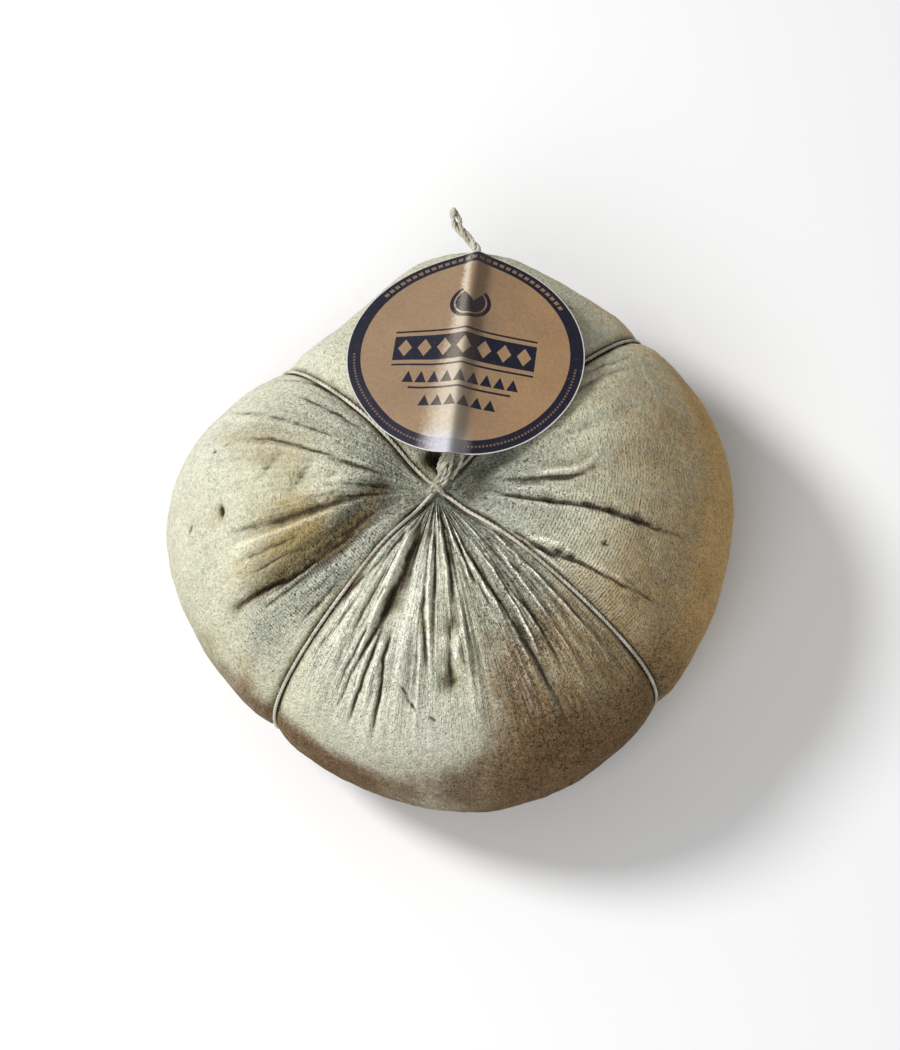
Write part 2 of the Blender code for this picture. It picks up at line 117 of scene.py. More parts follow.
# Folds of the rind: depth in mm (negative stands up), half width in mm towards the lower and
# the higher azimuths, and the route as pairs of an azimuth and a distance in mm
FOLDS = (
    # left lobe
    (2.2, 2.8, 2.6, ((185, 4), (189, 20), (193, 38), (194, 56), (192.5, 78))),
    (-1.4, 1.0, 1.8, ((194, 24), (197.5, 40), (198, 54), (196.5, 78))),
    (6.0, 7.4, 4.4, ((200, 10), (206.5, 26), (211.8, 40), (211, 58), (208.3, 90))),
    (1.5, 0.9, 0.9, ((213, 48), (211.5, 64), (209, 78), (208, 88))),
    (0.9, 0.8, 0.8, ((215, 52), (215, 65), (213.5, 80))),
    (-0.8, 0.5, 0.7, ((214, 50), (213.6, 64), (212, 78))),
    (0.7, 1.0, 1.0, ((206, 46), (205, 62), (204.5, 76))),
    (0.6, 1.0, 1.0, ((202, 50), (201, 66), (200, 80))),
    (1.0, 1.0, 1.6, ((173, 10), (172, 24), (169, 34), (166, 48), (164, 62), (166, 82))),
    (0.6, 1.1, 1.1, ((158, 30), (157, 54), (156, 71), (157, 92))),
    (0.7, 0.9, 0.9, ((146, 30), (146, 51), (147, 72))),
    (0.6, 0.8, 0.8, ((137, 50), (140, 67), (146, 84))),
    (0.8, 1.0, 1.2, ((181, 10), (182, 22), (184, 36), (187, 50))),
    (0.6, 0.8, 0.8, ((184, 22), (187.5, 38), (190, 50))),
    # ridge beside the lower left twine
    (-1.2, 1.8, 1.8, ((219, 24), (219.5, 46), (218, 68))),
    (0.8, 0.7, 0.8, ((225.5, 34), (225.5, 48), (224.5, 66), (223.5, 76))),
    (0.6, 0.7, 0.8, ((222, 44), (221, 60), (220, 74))),
    # between the lower left twine and the deep slot
    (1.3, 0.9, 1.5, ((240, 8), (238, 24), (235.5, 34), (233, 42), (231, 52), (230, 62))),
    (0.8, 0.7, 0.9, ((242, 22), (241, 36), (239.7, 52), (239.4, 70))),
    (0.8, 0.6, 0.8, ((237, 36), (235, 52), (233, 68), (231.5, 80))),
    (0.6, 0.6, 0.8, ((245, 34), (242.5, 48), (241, 62), (240.5, 80))),
    (-1.2, 0.6, 0.8, ((243, 22), (244, 32), (244.6, 42), (243.5, 56))),
    # deep slot and the wedge-shaped ridges that leave it
    (5.2, 1.4, 4.6, ((248, 8), (248.4, 22), (248.8, 36), (247.2, 46), (246.4, 56), (246, 68))),
    (1.2, 0.7, 0.8, ((244.4, 52), (243, 62), (242, 72), (241.5, 84))),
    (1.5, 0.6, 0.7, ((246, 54), (245, 64), (243.8, 74), (243.4, 88))),
    (1.7, 0.6, 0.8, ((248, 54), (247.5, 66), (247, 78), (246.6, 90))),
    (2.0, 0.7, 0.9, ((251, 52), (251.5, 66), (252.5, 76), (253, 92))),
    (-1.1, 0.5, 0.6, ((247.2, 56), (246.5, 68), (246, 84))),
    (-0.8, 0.6, 0.7, ((250, 58), (249.6, 72), (249.4, 84))),
    (-1.1, 2.0, 2.0, ((253, 16), (256, 34), (256, 56), (257, 80))),
    # middle
    (-1.4, 0.7, 1.1, ((262, 5), (263.5, 16), (263, 28), (264, 46), (265.2, 60), (266.2, 76))),
    (1.2, 0.8, 0.9, ((265, 16), (267, 31), (267.3, 46))),
    (1.4, 0.9, 1.0, ((261.5, 38), (262, 48), (263.6, 57), (264.5, 68))),
    (-1.4, 0.6, 0.9, ((268, 12), (271.5, 24), (273.2, 34), (272, 46))),
    (1.0, 0.8, 0.9, ((272, 14), (275.4, 26), (275.6, 36), (274.6, 46))),
    (1.1, 0.8, 1.1, ((272, 5), (279, 18), (277.8, 30), (278, 46))),
    (1.8, 2.0, 1.5, ((274.5, 46), (271.5, 58), (271.2, 74))),
    (-1.1, 0.8, 1.0, ((277, 52), (274, 60), (276, 68))),
    # right half of the fan
    (-1.6, 0.6, 0.9, ((280, 8), (281, 20), (284, 30), (285.2, 42))),
    (-1.5, 0.5, 0.8, ((285, 18), (288, 30), (290, 40), (291, 50))),
    (1.1, 0.7, 1.0, ((283, 16), (286, 32), (288.5, 43), (290.5, 56))),
    (2.3, 1.0, 1.9, ((286, 18), (290.5, 32), (293, 43), (295, 54), (296, 70), (297, 92))),
    (-1.7, 0.5, 0.9, ((294, 20), (297.4, 36), (298, 52), (297.2, 72))),
    (1.2, 0.8, 1.3, ((296, 22), (298.5, 36), (298.6, 48), (300, 60))),
    (-1.1, 0.4, 0.6, ((299, 46), (300.8, 54), (301, 64))),
    (1.4, 0.8, 1.3, ((301, 46), (302, 56), (301.8, 66), (301.6, 78))),
    (-1.4, 0.5, 0.8, ((307.5, 28), (306, 40), (305.4, 50), (306.2, 64))),
    (1.2, 1.9, 2.1, ((306, 24), (302.5, 38), (302.5, 50), (302.5, 58))),
    (-0.9, 0.4, 0.6, ((302.5, 58), (302.3, 64), (302.6, 72))),
    (1.1, 0.7, 0.9, ((303.6, 58), (304, 66), (304.2, 80))),
    (-1.2, 0.5, 0.8, ((316, 18), (312.6, 29), (311.2, 40), (313, 50), (313.2, 70))),
    (0.9, 0.7, 0.9, ((308, 36), (308.8, 46), (308.6, 58))),
    (1.0, 0.7, 1.0, ((313.8, 46), (313.5, 56), (313.4, 72))),
    (-1.1, 0.5, 0.7, ((322, 24), (321.6, 36), (321.2, 56))),
    (0.8, 0.7, 0.8, ((323.5, 26), (323.2, 40), (322.8, 56))),
    # right side
    (1.2, 0.7, 1.8, ((356, 10), (346, 24), (347, 38), (348.6, 52), (348.6, 72), (349.6, 90))),
    (1.0, 0.7, 1.7, ((316, 26), (322, 40), (327, 54), (329, 66), (331, 80), (334, 92))),
    (-1.1, 1.0, 1.4, ((324, 34), (329, 46), (329.5, 62), (331.5, 78))),
    (0.9, 1.3, 0.9, ((4, 14), (0, 28), (0.5, 42), (3.6, 50), (9, 55))),
    (-1.3, 0.8, 1.4, ((2, 32), (3.6, 44), (6.6, 50), (11, 54), (16, 56))),
    (0.6, 0.9, 1.2, ((352, 10), (356, 26), (357, 40))),
    (0.5, 2.4, 2.4, ((19, 36), (23, 58), (26, 78))),
    (0.7, 1.4, 1.6, ((36, 50), (37, 66), (36, 86))),
    (0.8, 0.8, 0.9, ((41, 58), (40, 72), (39, 86))),
    (0.9, 1.0, 1.0, ((66, 80), (56, 84), (47, 84))),
)
FOLD_LIP = 0.16

# Dents and lumps: azimuth, distance, direction of the long side, half length, half width and
# depth in mm, a negative one stands up
DENTS = (
    (174.0, 60.0, 55.0, 7.5, 2.4, 1.0), (177.5, 48.0, 60.0, 8.0, 2.4, 1.0),
    (178.5, 37.0, 65.0, 4.6, 1.9, 0.6), (185.5, 77.0, 100.0, 2.6, 1.2, 2.0),
    (186.5, 89.5, 70.0, 2.0, 0.7, 0.7), (168.5, 82.0, 60.0, 1.0, 0.8, 0.7),
    (167.0, 78.0, 30.0, 1.0, 0.7, 0.6),
    # broken edge of the two creases at the right
    (327.8, 42.0, 0.0, 1.1, 0.9, -0.7), (328.6, 45.4, 0.0, 0.9, 0.8, -0.7),
    (327.2, 48.6, 40.0, 1.2, 0.8, -0.7), (328.8, 52.4, 0.0, 1.1, 0.9, -0.6),
    (329.6, 61.0, 0.0, 0.9, 0.8, -0.5), (330.8, 66.0, 0.0, 0.8, 0.7, -0.5),
    (326.6, 46.6, 0.0, 0.7, 0.7, 1.1), (327.6, 51.0, 0.0, 0.8, 0.7, 1.1),
    (351.2, 58.4, 90.0, 1.2, 0.8, -0.7), (349.4, 72.0, 90.0, 0.9, 0.7, -1.2),
    (350.4, 41.0, 10.0, 2.4, 0.9, -0.5), (349.8, 49.6, 160.0, 1.6, 0.9, 0.9),
    (349.6, 57.0, 160.0, 1.8, 1.1, 0.9), (349.2, 66.4, 165.0, 3.4, 0.9, 0.8),
    (347.4, 37.0, 160.0, 2.0, 0.9, 1.0),
    # cracks and torn places
    (338.0, 58.0, 60.0, 1.5, 0.4, 0.7), (337.2, 58.8, 130.0, 1.2, 0.4, 0.6),
    (258.6, 73.0, 120.0, 2.2, 0.5, 0.8), (261.0, 77.0, 135.0, 2.6, 0.5, 0.8),
    (266.5, 80.8, 150.0, 1.3, 0.8, 1.1), (268.0, 100.0, 170.0, 1.6, 0.7, 0.8),
    (276.0, 96.0, 10.0, 1.4, 0.8, 0.8), (270.6, 57.0, 80.0, 2.6, 1.6, -0.9),
    (273.4, 62.0, 60.0, 2.2, 1.4, -0.8), (269.8, 66.0, 90.0, 1.8, 1.1, -0.6),
    (271.8, 70.0, 45.0, 2.0, 1.2, 0.5),
)

# Stains of the face: azimuth, distance and spread in mm, amount
TAN_STAINS = (
    (300, 96, 26, 0.75), (310, 84, 22, 0.60), (292, 92, 14, 0.65), (283, 100, 12, 0.60),
    (320, 96, 24, 0.60), (335, 88, 24, 0.65), (350, 88, 24, 0.55), (5, 90, 24, 0.50),
    (20, 88, 22, 0.50), (35, 86, 20, 0.30), (220, 92, 8, 0.45),
    (210, 94, 8, 0.35), (300, 62, 20, 0.40), (322, 70, 18, 0.45),
    (345, 66, 22, 0.34), (10, 70, 20, 0.34), (38, 62, 14, 0.35), (55, 82, 18, 0.26),
    (45, 45, 16, 0.45), (262, 103, 10, 0.50), (245, 105, 9, 0.40), (292, 72, 14, 0.45),
)
BARK_STAINS = (
    (298, 104, 20, 0.72), (290, 88, 14, 0.50), (285, 101, 11, 0.56), (293, 64, 11, 0.52),
    (304, 86, 12, 0.26), (274, 106, 7, 0.80), (288, 76, 9, 0.30),
    (270, 100, 5, 0.35), (262, 106, 5, 0.60), (318, 101, 13, 0.55),
    (222, 99, 6, 0.70), (228, 99, 5, 0.55), (305, 60, 9, 0.35), (297, 60, 3, 0.40),
    (312, 74, 10, 0.30), (349.6, 66, 3, 0.60), (349.8, 57, 3, 0.50), (262, 102, 5, 0.45),
    (250, 102, 5, 0.40), (62, 60, 12, 0.30), (340, 84, 10, 0.25), (325, 88, 10, 0.30),
    (214, 100, 5, 0.60), (206, 101, 4, 0.45), (235, 99, 6, 0.50), (292, 74, 12, 0.40),
)
# Painted shade: nearly black-green places in the hollows, in the creases and under the right edge of the
# label
HOLLOW_SHADE_STROKES = (
    (200, 18, 5, 0.45), (204, 26, 6, 0.65), (208, 34, 6, 0.85), (211, 42, 6, 0.95),
    (211.6, 50, 6, 0.96), (211.6, 58, 5, 0.88), (210.6, 66, 5, 0.75), (209.6, 74, 4, 0.60),
    (208.6, 82, 3, 0.50), (192, 34, 4, 0.35), (194, 46, 4, 0.45), (194, 57, 4, 0.35),
    (10, 14, 6, 0.70), (345, 10, 5, 0.60), (275, 9, 4, 0.50), (22, 24, 6, 0.50),
    (38, 44, 9, 0.60), (302, 40, 8, 0.26), (294, 56, 9, 0.40), (286, 36, 4, 0.36),
    (249, 46, 4, 0.70), (248, 58, 4, 0.50), (305, 50, 6, 0.26), (347, 38, 3, 0.55),
    (167, 22, 6, 0.40), (185, 18, 5, 0.45), (271, 70, 3, 0.45), (302, 62, 5, 0.30),
    (348.8, 51, 2.4, 0.70), (349, 58, 2.4, 0.75), (349, 66, 2.6, 0.80), (349.4, 72, 2, 0.55),
    (327, 47, 2.4, 0.60), (327.4, 51, 2.4, 0.65), (331, 70, 2, 0.45), (318, 32, 3, 0.50),
)
MOULD_STAINS = (
    (150, 30, 15, 0.60), (146, 48, 13, 0.55), (156, 62, 14, 0.44), (165, 24, 12, 0.44),
    (192, 20, 11, 0.75), (206, 34, 12, 0.60), (221, 34, 9, 0.72), (220, 50, 9, 0.95),
    (218, 64, 10, 0.90), (217, 78, 9, 0.60), (300, 22, 14, 0.50), (306, 38, 11, 0.60), (303, 52, 10, 0.55),
    (345, 18, 16, 0.62), (12, 20, 16, 0.70), (330, 34, 10, 0.36), (25, 34, 12, 0.46),
    (286, 20, 10, 0.50), (290, 50, 9, 0.36), (222, 84, 9, 0.40),
    (10, 8, 9, 0.75), (285, 8, 7, 0.50), (190, 8, 8, 0.50), (345, 40, 9, 0.30),
)
OCHRE_STAINS = (
    (193, 50, 9, 0.80), (190, 62, 9, 0.50), (203, 48, 10, 0.95), (204, 62, 10, 0.75),
    (203, 34, 8, 0.60), (204, 74, 8, 0.40), (160, 50, 8, 0.30),
    (172, 62, 8, 0.40), (168, 50, 8, 0.25), (178, 50, 6, 0.35), (245, 46, 5, 0.45),
    (241, 60, 8, 0.30), (272, 60, 9, 0.38), (264, 52, 4, 0.60), (186, 78, 5, 0.40),
    (187, 88, 6, 0.26), (5, 46, 7, 0.34), (268, 80, 12, 0.22), (161, 66, 9, 0.45),
    (166, 76, 8, 0.35), (178, 88, 9, 0.25),
)
PALE_STAINS = (
    (256, 40, 12, 0.85), (258, 60, 13, 0.65), (256, 24, 8, 0.60), (232, 20, 9, 0.40),
    (168, 92, 20, 0.40), (150, 88, 16, 0.70), (128, 80, 18, 0.55), (186, 90, 20, 0.25),
    (262, 84, 16, 0.50), (198, 66, 5, 0.40), (329, 24, 9, 0.50), (265, 60, 6, 0.60),
    (238, 52, 12, 0.60), (48, 97, 12, 0.50), (250, 84, 12, 0.45), (268, 88, 14, 0.45),
    (243, 30, 9, 0.50), (240, 70, 12, 0.45),
)
# Places where the rows of the knitted cloth still show: azimuth, distance, spread, amount
KNIT_MARKS = (
    (326, 58, 9, 1.0), (323, 70, 9, 0.9), (334, 44, 11, 0.6), (336, 60, 12, 0.4),
    (221, 38, 8, 0.9), (219, 56, 9, 1.0), (218, 70, 9, 0.7), (216, 80, 8, 0.4),
    (345, 50, 10, 0.5), (352, 62, 14, 0.3), (340, 74, 10, 0.4), (8, 66, 14, 0.3),
)

# Rind mesh
RIND_SEGMENTS = 560
RIND_RINGS = 176
FACE_SHARE_OF_RINGS = 0.68


# Form of the rind

def wrap_degrees(angle):
    """Signed difference of azimuths, between -180 and 180 degrees."""
    return (angle + 180.0) % 360.0 - 180.0


def soft_step(value):
    """Smooth ramp from 0 to 1."""
    value = np.clip(value, 0.0, 1.0)
    return value * value * (3.0 - 2.0 * value)


def bell(offset, spread):
    """Smooth bump of height 1."""
    return np.exp(-(offset / spread) ** 2)


def rim_radius(azimuth):
    """Radius of the widest section at an azimuth."""
    radius = np.full_like(azimuth, GIRTH_RADIUS)
    for centre, pull, spread in RIM_PINCHES:
        radius = radius - pull * np.exp(-np.abs(wrap_degrees(azimuth - centre) / spread) ** 2.4)
    return radius


def profile(polar):
    """Share of the rim radius and height of the meridian, polar is 0 at the gather."""
    on_face = polar <= math.pi / 2
    power = np.where(on_face, 2.0 / FACE_FULLNESS, 2.0 / BASE_FULLNESS)
    share = np.clip(np.sin(polar), 0.0, 1.0) ** power
    rise = np.abs(np.cos(polar)) ** power
    top = GIRTH_HEIGHT + (CREST_HEIGHT - GIRTH_HEIGHT) * rise
    bottom = GIRTH_HEIGHT - GIRTH_HEIGHT * BASE_SINK * rise
    return share, np.where(on_face, top, bottom)


def smooth_form(azimuth, polar):
    """The cheese without folds."""
    share, height = profile(polar)
    reach = rim_radius(azimuth) * share
    turn = np.radians(azimuth)
    on_face = polar <= math.pi / 2
    shift = np.where(on_face, 1.0 - share, 0.0)
    x = reach * np.cos(turn) + GATHER_X * shift
    y = reach * np.sin(turn) + GATHER_Y * shift
    z = height - np.where(on_face, GATHER_DEPTH * bell(reach, GATHER_RADIUS), 0.0)
    return np.stack([x, y, z], -1)


def smooth_normal(azimuth, polar):
    """Outward direction of the smooth form."""
    step = 0.004
    polar = np.clip(polar, 2 * step, math.pi - 2 * step)
    along = smooth_form(azimuth, polar + step) - smooth_form(azimuth, polar - step)
    across = smooth_form(azimuth + step * 60, polar) - smooth_form(azimuth - step * 60, polar)
    normal = np.cross(along, across)
    return normal / np.linalg.norm(normal, axis=-1, keepdims=True)


def lattice_noise(place, seed):
    """Smooth noise between -1 and 1, from one seeded random value at each corner of a grid."""
    values = np.random.default_rng(seed).uniform(-1.0, 1.0, 4096)
    cell = np.floor(place).astype(np.int64)
    part = place - cell
    part = part * part * (3.0 - 2.0 * part)
    total = np.zeros(place.shape[:-1])
    for corner in itertools.product((0, 1), repeat=3):
        at = cell + corner
        key = (at[..., 0] * 73856093) ^ (at[..., 1] * 19349663) ^ (at[..., 2] * 83492791)
        weight = np.prod(np.where(corner, part, 1.0 - part), axis=-1)
        total += weight * values[key & 4095]
    return total


def fan_place(azimuth, distance, turns, length):
    """Place in a space where noise makes radial streaks, with that many waves to a turn."""
    angle = np.radians(azimuth)
    ring = turns / (2.0 * math.pi)
    return np.stack([ring * np.cos(angle), ring * np.sin(angle), distance / length], -1)


def sector(azimuth, first, last, edge):
    """1 inside a range of azimuths, with soft edges."""
    middle, half = (first + last) / 2.0, (last - first) / 2.0
    return soft_step((half - np.abs(wrap_degrees(azimuth - middle))) / edge + 0.5)


def fold_relief(azimuth, distance):
    """Depth of the folds at a place, negative is inwards."""
    relief = np.zeros_like(azimuth)
    reach = distance * 1000.0
    for number, (depth, below, above, route) in enumerate(FOLDS):
        azimuths, stations = np.array(route, float).T
        start, end = stations[0], stations[-1]
        centre = np.interp(reach, stations, np.unwrap(azimuths, period=360.0))
        aside = np.radians(wrap_degrees(azimuth - centre)) * reach
        near = (np.abs(aside) < 5.0 * max(below, above)) & (reach > start) & (reach < end)
        along, aside = reach[near], aside[near]
        strip = np.stack([along, np.full_like(along, 7.3 * number), np.zeros_like(along)], -1)
        aside = aside + 0.30 * lattice_noise(strip / (3.6, 1.0, 1.0), 21)
        aside = aside + 0.14 * lattice_noise(strip / (1.3, 1.0, 1.0), 22)
        worn = 0.90 + 0.50 / (1.0 + abs(depth)) * lattice_noise(strip / (4.5, 1.0, 1.0), 23)
        width = np.where(aside < 0.0, below, above)
        near_end, far_end = (0.25, 0.35) if depth > 0.0 else (0.12, 0.25)
        fade = soft_step((along - start) / (near_end * (end - start)))
        fade = fade * soft_step((end - along) / (far_end * (end - start)))
        power = 1.45 if depth > 0.0 else 1.3
        slot = np.exp(-np.abs(aside / width) ** power)
        lip = FOLD_LIP * bell(np.abs(aside) - 2.1 * width, width) * (depth > 0.0)
        relief[near] += depth / 1000.0 * worn * fade * (lip - slot)
    return relief


def swell_relief(azimuth, distance):
    """Height of the broad swells and hollows of the face."""
    turn = np.radians(azimuth)
    x, y = distance * np.cos(turn), distance * np.sin(turn)
    relief = np.zeros_like(azimuth)
    for centre, reach, height, spread in SWELLS:
        away = np.hypot(x - reach * math.cos(math.radians(centre)),
                        y - reach * math.sin(math.radians(centre)))
        relief += height * bell(away, spread)
    return relief


def dent_relief(azimuth, distance):
    """Pressed dents, pits, lumps and torn spots of the rind."""
    turn = np.radians(azimuth)
    x, y = distance * np.cos(turn), distance * np.sin(turn)
    relief = np.zeros_like(azimuth)
    for centre, reach, lean, length, width, depth in DENTS:
        middle, reach = math.radians(centre), reach / 1000.0
        lean_x, lean_y = math.cos(math.radians(lean)), math.sin(math.radians(lean))
        away_x, away_y = x - reach * math.cos(middle), y - reach * math.sin(middle)
        along = (away_x * lean_x + away_y * lean_y) * 1000.0
        aside = (away_y * lean_x - away_x * lean_y) * 1000.0
        relief -= depth / 1000.0 * bell(along, length) * np.exp(-np.abs(aside / width) ** 1.6)
    return relief


def twine_relief(azimuth, distance, polar):
    """Valley that the twine pulls into the rind, and the narrow groove that it lies in."""
    relief = np.zeros_like(azimuth)
    for centre in itertools.chain(*TWINE_LOOPS):
        aside = np.radians(wrap_degrees(azimuth - centre)) * distance
        valley = VALLEY_DEPTH * soft_step(distance / 0.012) * soft_step((2.6 - polar) / 0.5)
        groove = 0.0014 * soft_step(distance / 0.006) * soft_step((2.5 - polar) / 0.3)
        relief -= valley * bell(aside, VALLEY_HALF_WIDTH)
        relief -= groove * np.exp(-np.abs(aside / 0.0018) ** 2.6)
    return relief


def pleat_relief(azimuth, distance):
    """Fine radial pleats, strongest in the fan below the gather."""
    fan = sector(azimuth, 232.0, 318.0, 8.0)
    west = sector(azimuth, 140.0, 224.0, 8.0)
    near = soft_step((0.098 - distance) / 0.030) * soft_step(distance / 0.012)
    strength = near * (0.00014 + 0.00078 * fan + 0.00018 * west)
    coarse = 1.0 - np.abs(lattice_noise(fan_place(azimuth, distance, 78.0, 0.070), 3))
    fine = 1.0 - np.abs(lattice_noise(fan_place(azimuth, distance, 210.0, 0.045), 4))
    return strength * (1.3 * coarse ** 3.0 + 0.7 * fine ** 3.0 - 0.8)


def rind_relief(azimuth, polar):
    """Height of the real rind above the smooth form."""
    distance = profile(polar)[0] * rim_radius(azimuth)
    on_face = soft_step((1.60 - polar) / 0.25)
    relief = on_face * (fold_relief(azimuth, distance) + swell_relief(azimuth, distance)
                        + dent_relief(azimuth, distance) + pleat_relief(azimuth, distance))
    relief = relief + twine_relief(azimuth, distance, polar)
    place = smooth_form(azimuth, polar)
    for height, size, seed in ((0.00036, 0.014, 11), (0.00022, 0.0055, 12), (0.00012, 0.0021, 13)):
        relief = relief + height * lattice_noise(place / size, seed)
    return relief


def rind_form(azimuth, polar, relief=None):
    """The rind, cut flat at the base, with the hollow there where the twine crosses."""
    azimuth, polar = np.broadcast_arrays(np.asarray(azimuth, float), np.asarray(polar, float))
    relief = rind_relief(azimuth, polar) if relief is None else relief
    point = smooth_form(azimuth, polar) + smooth_normal(azimuth, polar) * relief[..., None]
    from_crossing = np.hypot(point[..., 0] - CROSSING_X, point[..., 1] - CROSSING_Y)
    dimple = CROSSING_DIMPLE * bell(from_crossing, CROSSING_RADIUS)
    floor = np.where((polar > 2.2) & (dimple > BASE_SNAP), dimple, 0.0)
    point[..., 2] = np.maximum(point[..., 2], floor)
    return point


def support_form(azimuth, polar):
    """The rind with its broad forms only, which carries the twine and the label."""
    azimuth, polar = np.broadcast_arrays(np.asarray(azimuth, float), np.asarray(polar, float))
    distance = profile(polar)[0] * rim_radius(azimuth)
    on_face = soft_step((1.60 - polar) / 0.25)
    relief = on_face * swell_relief(azimuth, distance)
    valley = VALLEY_DEPTH * soft_step(distance / 0.012) * soft_step((2.6 - polar) / 0.5)
    for centre in itertools.chain(*TWINE_LOOPS):
        aside = np.radians(wrap_degrees(azimuth - centre)) * distance
        relief = relief - valley * bell(aside, VALLEY_HALF_WIDTH)
    return rind_form(azimuth, polar, relief)


def support_height(x, y):
    """Height of the face above a place of the ground, for what lies on it."""
    x, y = np.broadcast_arrays(np.asarray(x, float), np.asarray(y, float))
    shift = np.ones_like(x)
    for _ in range(12):
        away_x, away_y = x - GATHER_X * shift, y - GATHER_Y * shift
        azimuth = np.degrees(np.arctan2(away_y, away_x))
        share = np.clip(np.hypot(away_x, away_y) / rim_radius(azimuth), 0.0, 0.9995)
        shift = 1.0 - share
    return support_form(azimuth, np.arcsin(share ** (FACE_FULLNESS / 2.0)))[..., 2]


# Modelling

def deselect():
    """Nothing selected."""
    for thing in bpy.context.selected_objects:
        thing.select_set(False)


def set_attribute(mesh, name, values):
    """Store one number or one vector for each point of a mesh."""
    kind = "FLOAT" if values.ndim == 1 else "FLOAT_VECTOR"
    field = "value" if values.ndim == 1 else "vector"
    attribute = mesh.attributes.new(name, kind, "POINT")
    attribute.data.foreach_set(field, np.ascontiguousarray(values, np.float32).ravel())


def finish_piece(thing, node, paint):
    """Give a piece its material and its place in the model."""
    thing.data.materials.clear()
    for coat in paint if isinstance(paint, tuple) else (paint,):
        thing.data.materials.append(coat)
    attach(thing, "root")
    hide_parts(node)


# Rind

def dense_azimuth(angle):
    """Move the meridians of a sphere closer together where the folds are finest."""
    even = np.linspace(0.0, 360.0, 1441)
    density = 0.8 + 0.9 * sector(even, 236.0, 318.0, 14.0) + 0.2 * sector(even, 160.0, 226.0, 14.0)
    grown = np.concatenate([[0.0], np.cumsum((density[1:] + density[:-1]) / 2.0)])
    return np.interp(angle, grown / grown[-1] * 360.0, even)


def blurred(field, reach, distance, stations):
    """Mean of a ring-by-segment field over a neighbourhood on the rind."""
    count = field.shape[1]
    sigma = reach / np.maximum(distance, 0.004) / (2.0 * math.pi) * count
    waves = np.arange(count // 2 + 1) / count
    damping = np.exp(-2.0 * (math.pi * sigma[:, None] * waves[None, :]) ** 2)
    field = np.fft.irfft(np.fft.rfft(field, axis=1) * damping, count, axis=1)
    weight = np.exp(-0.5 * ((stations[:, None] - stations[None, :]) / reach) ** 2)
    return (weight / weight.sum(axis=1, keepdims=True)) @ field


def painted(strokes, azimuth, distance):
    """Soft strokes laid over each other on the face."""
    turn = np.radians(azimuth)
    x, y = distance * np.cos(turn) * 1000.0, distance * np.sin(turn) * 1000.0
    clear = np.ones_like(azimuth)
    for centre, reach, spread, amount in strokes:
        away = np.hypot(x - reach * math.cos(math.radians(centre)),
                        y - reach * math.sin(math.radians(centre)))
        clear *= 1.0 - amount * bell(away, spread)
    return 1.0 - clear


def side_colours(azimuth, height):
    """Honey brown of the right side, bark brown of the lower side, russet of the rest."""
    height = height * 1000.0
    right = bell(wrap_degrees(azimuth - 4.0), 56.0)
    lower = bell(wrap_degrees(azimuth - 296.0), 40.0)
    left = bell(wrap_degrees(azimuth - 242.0), 36.0)
    honey = right * soft_step((82.0 - height) / 24.0)
    bark = np.maximum(lower * soft_step((84.0 - height) / 30.0),
                      left * soft_step((62.0 - height) / 16.0))
    russet = 0.8 * soft_step((58.0 - height) / 46.0) * (1.0 - right)
    return honey, bark, russet


def beside_twine(azimuth, distance):
    """Painted shadow: a dark line on the side of the twine away from the light, where it presses into the
    rind.
    """
    lines = np.zeros_like(azimuth)
    for centre, amount in zip(itertools.chain(*TWINE_LOOPS), (0.45, 1.0, 0.35, 0.9)):
        aside = np.radians(wrap_degrees(azimuth - centre)) * distance
        lines = np.maximum(lines, amount * bell(aside - 0.0011, 0.0006))
    return lines


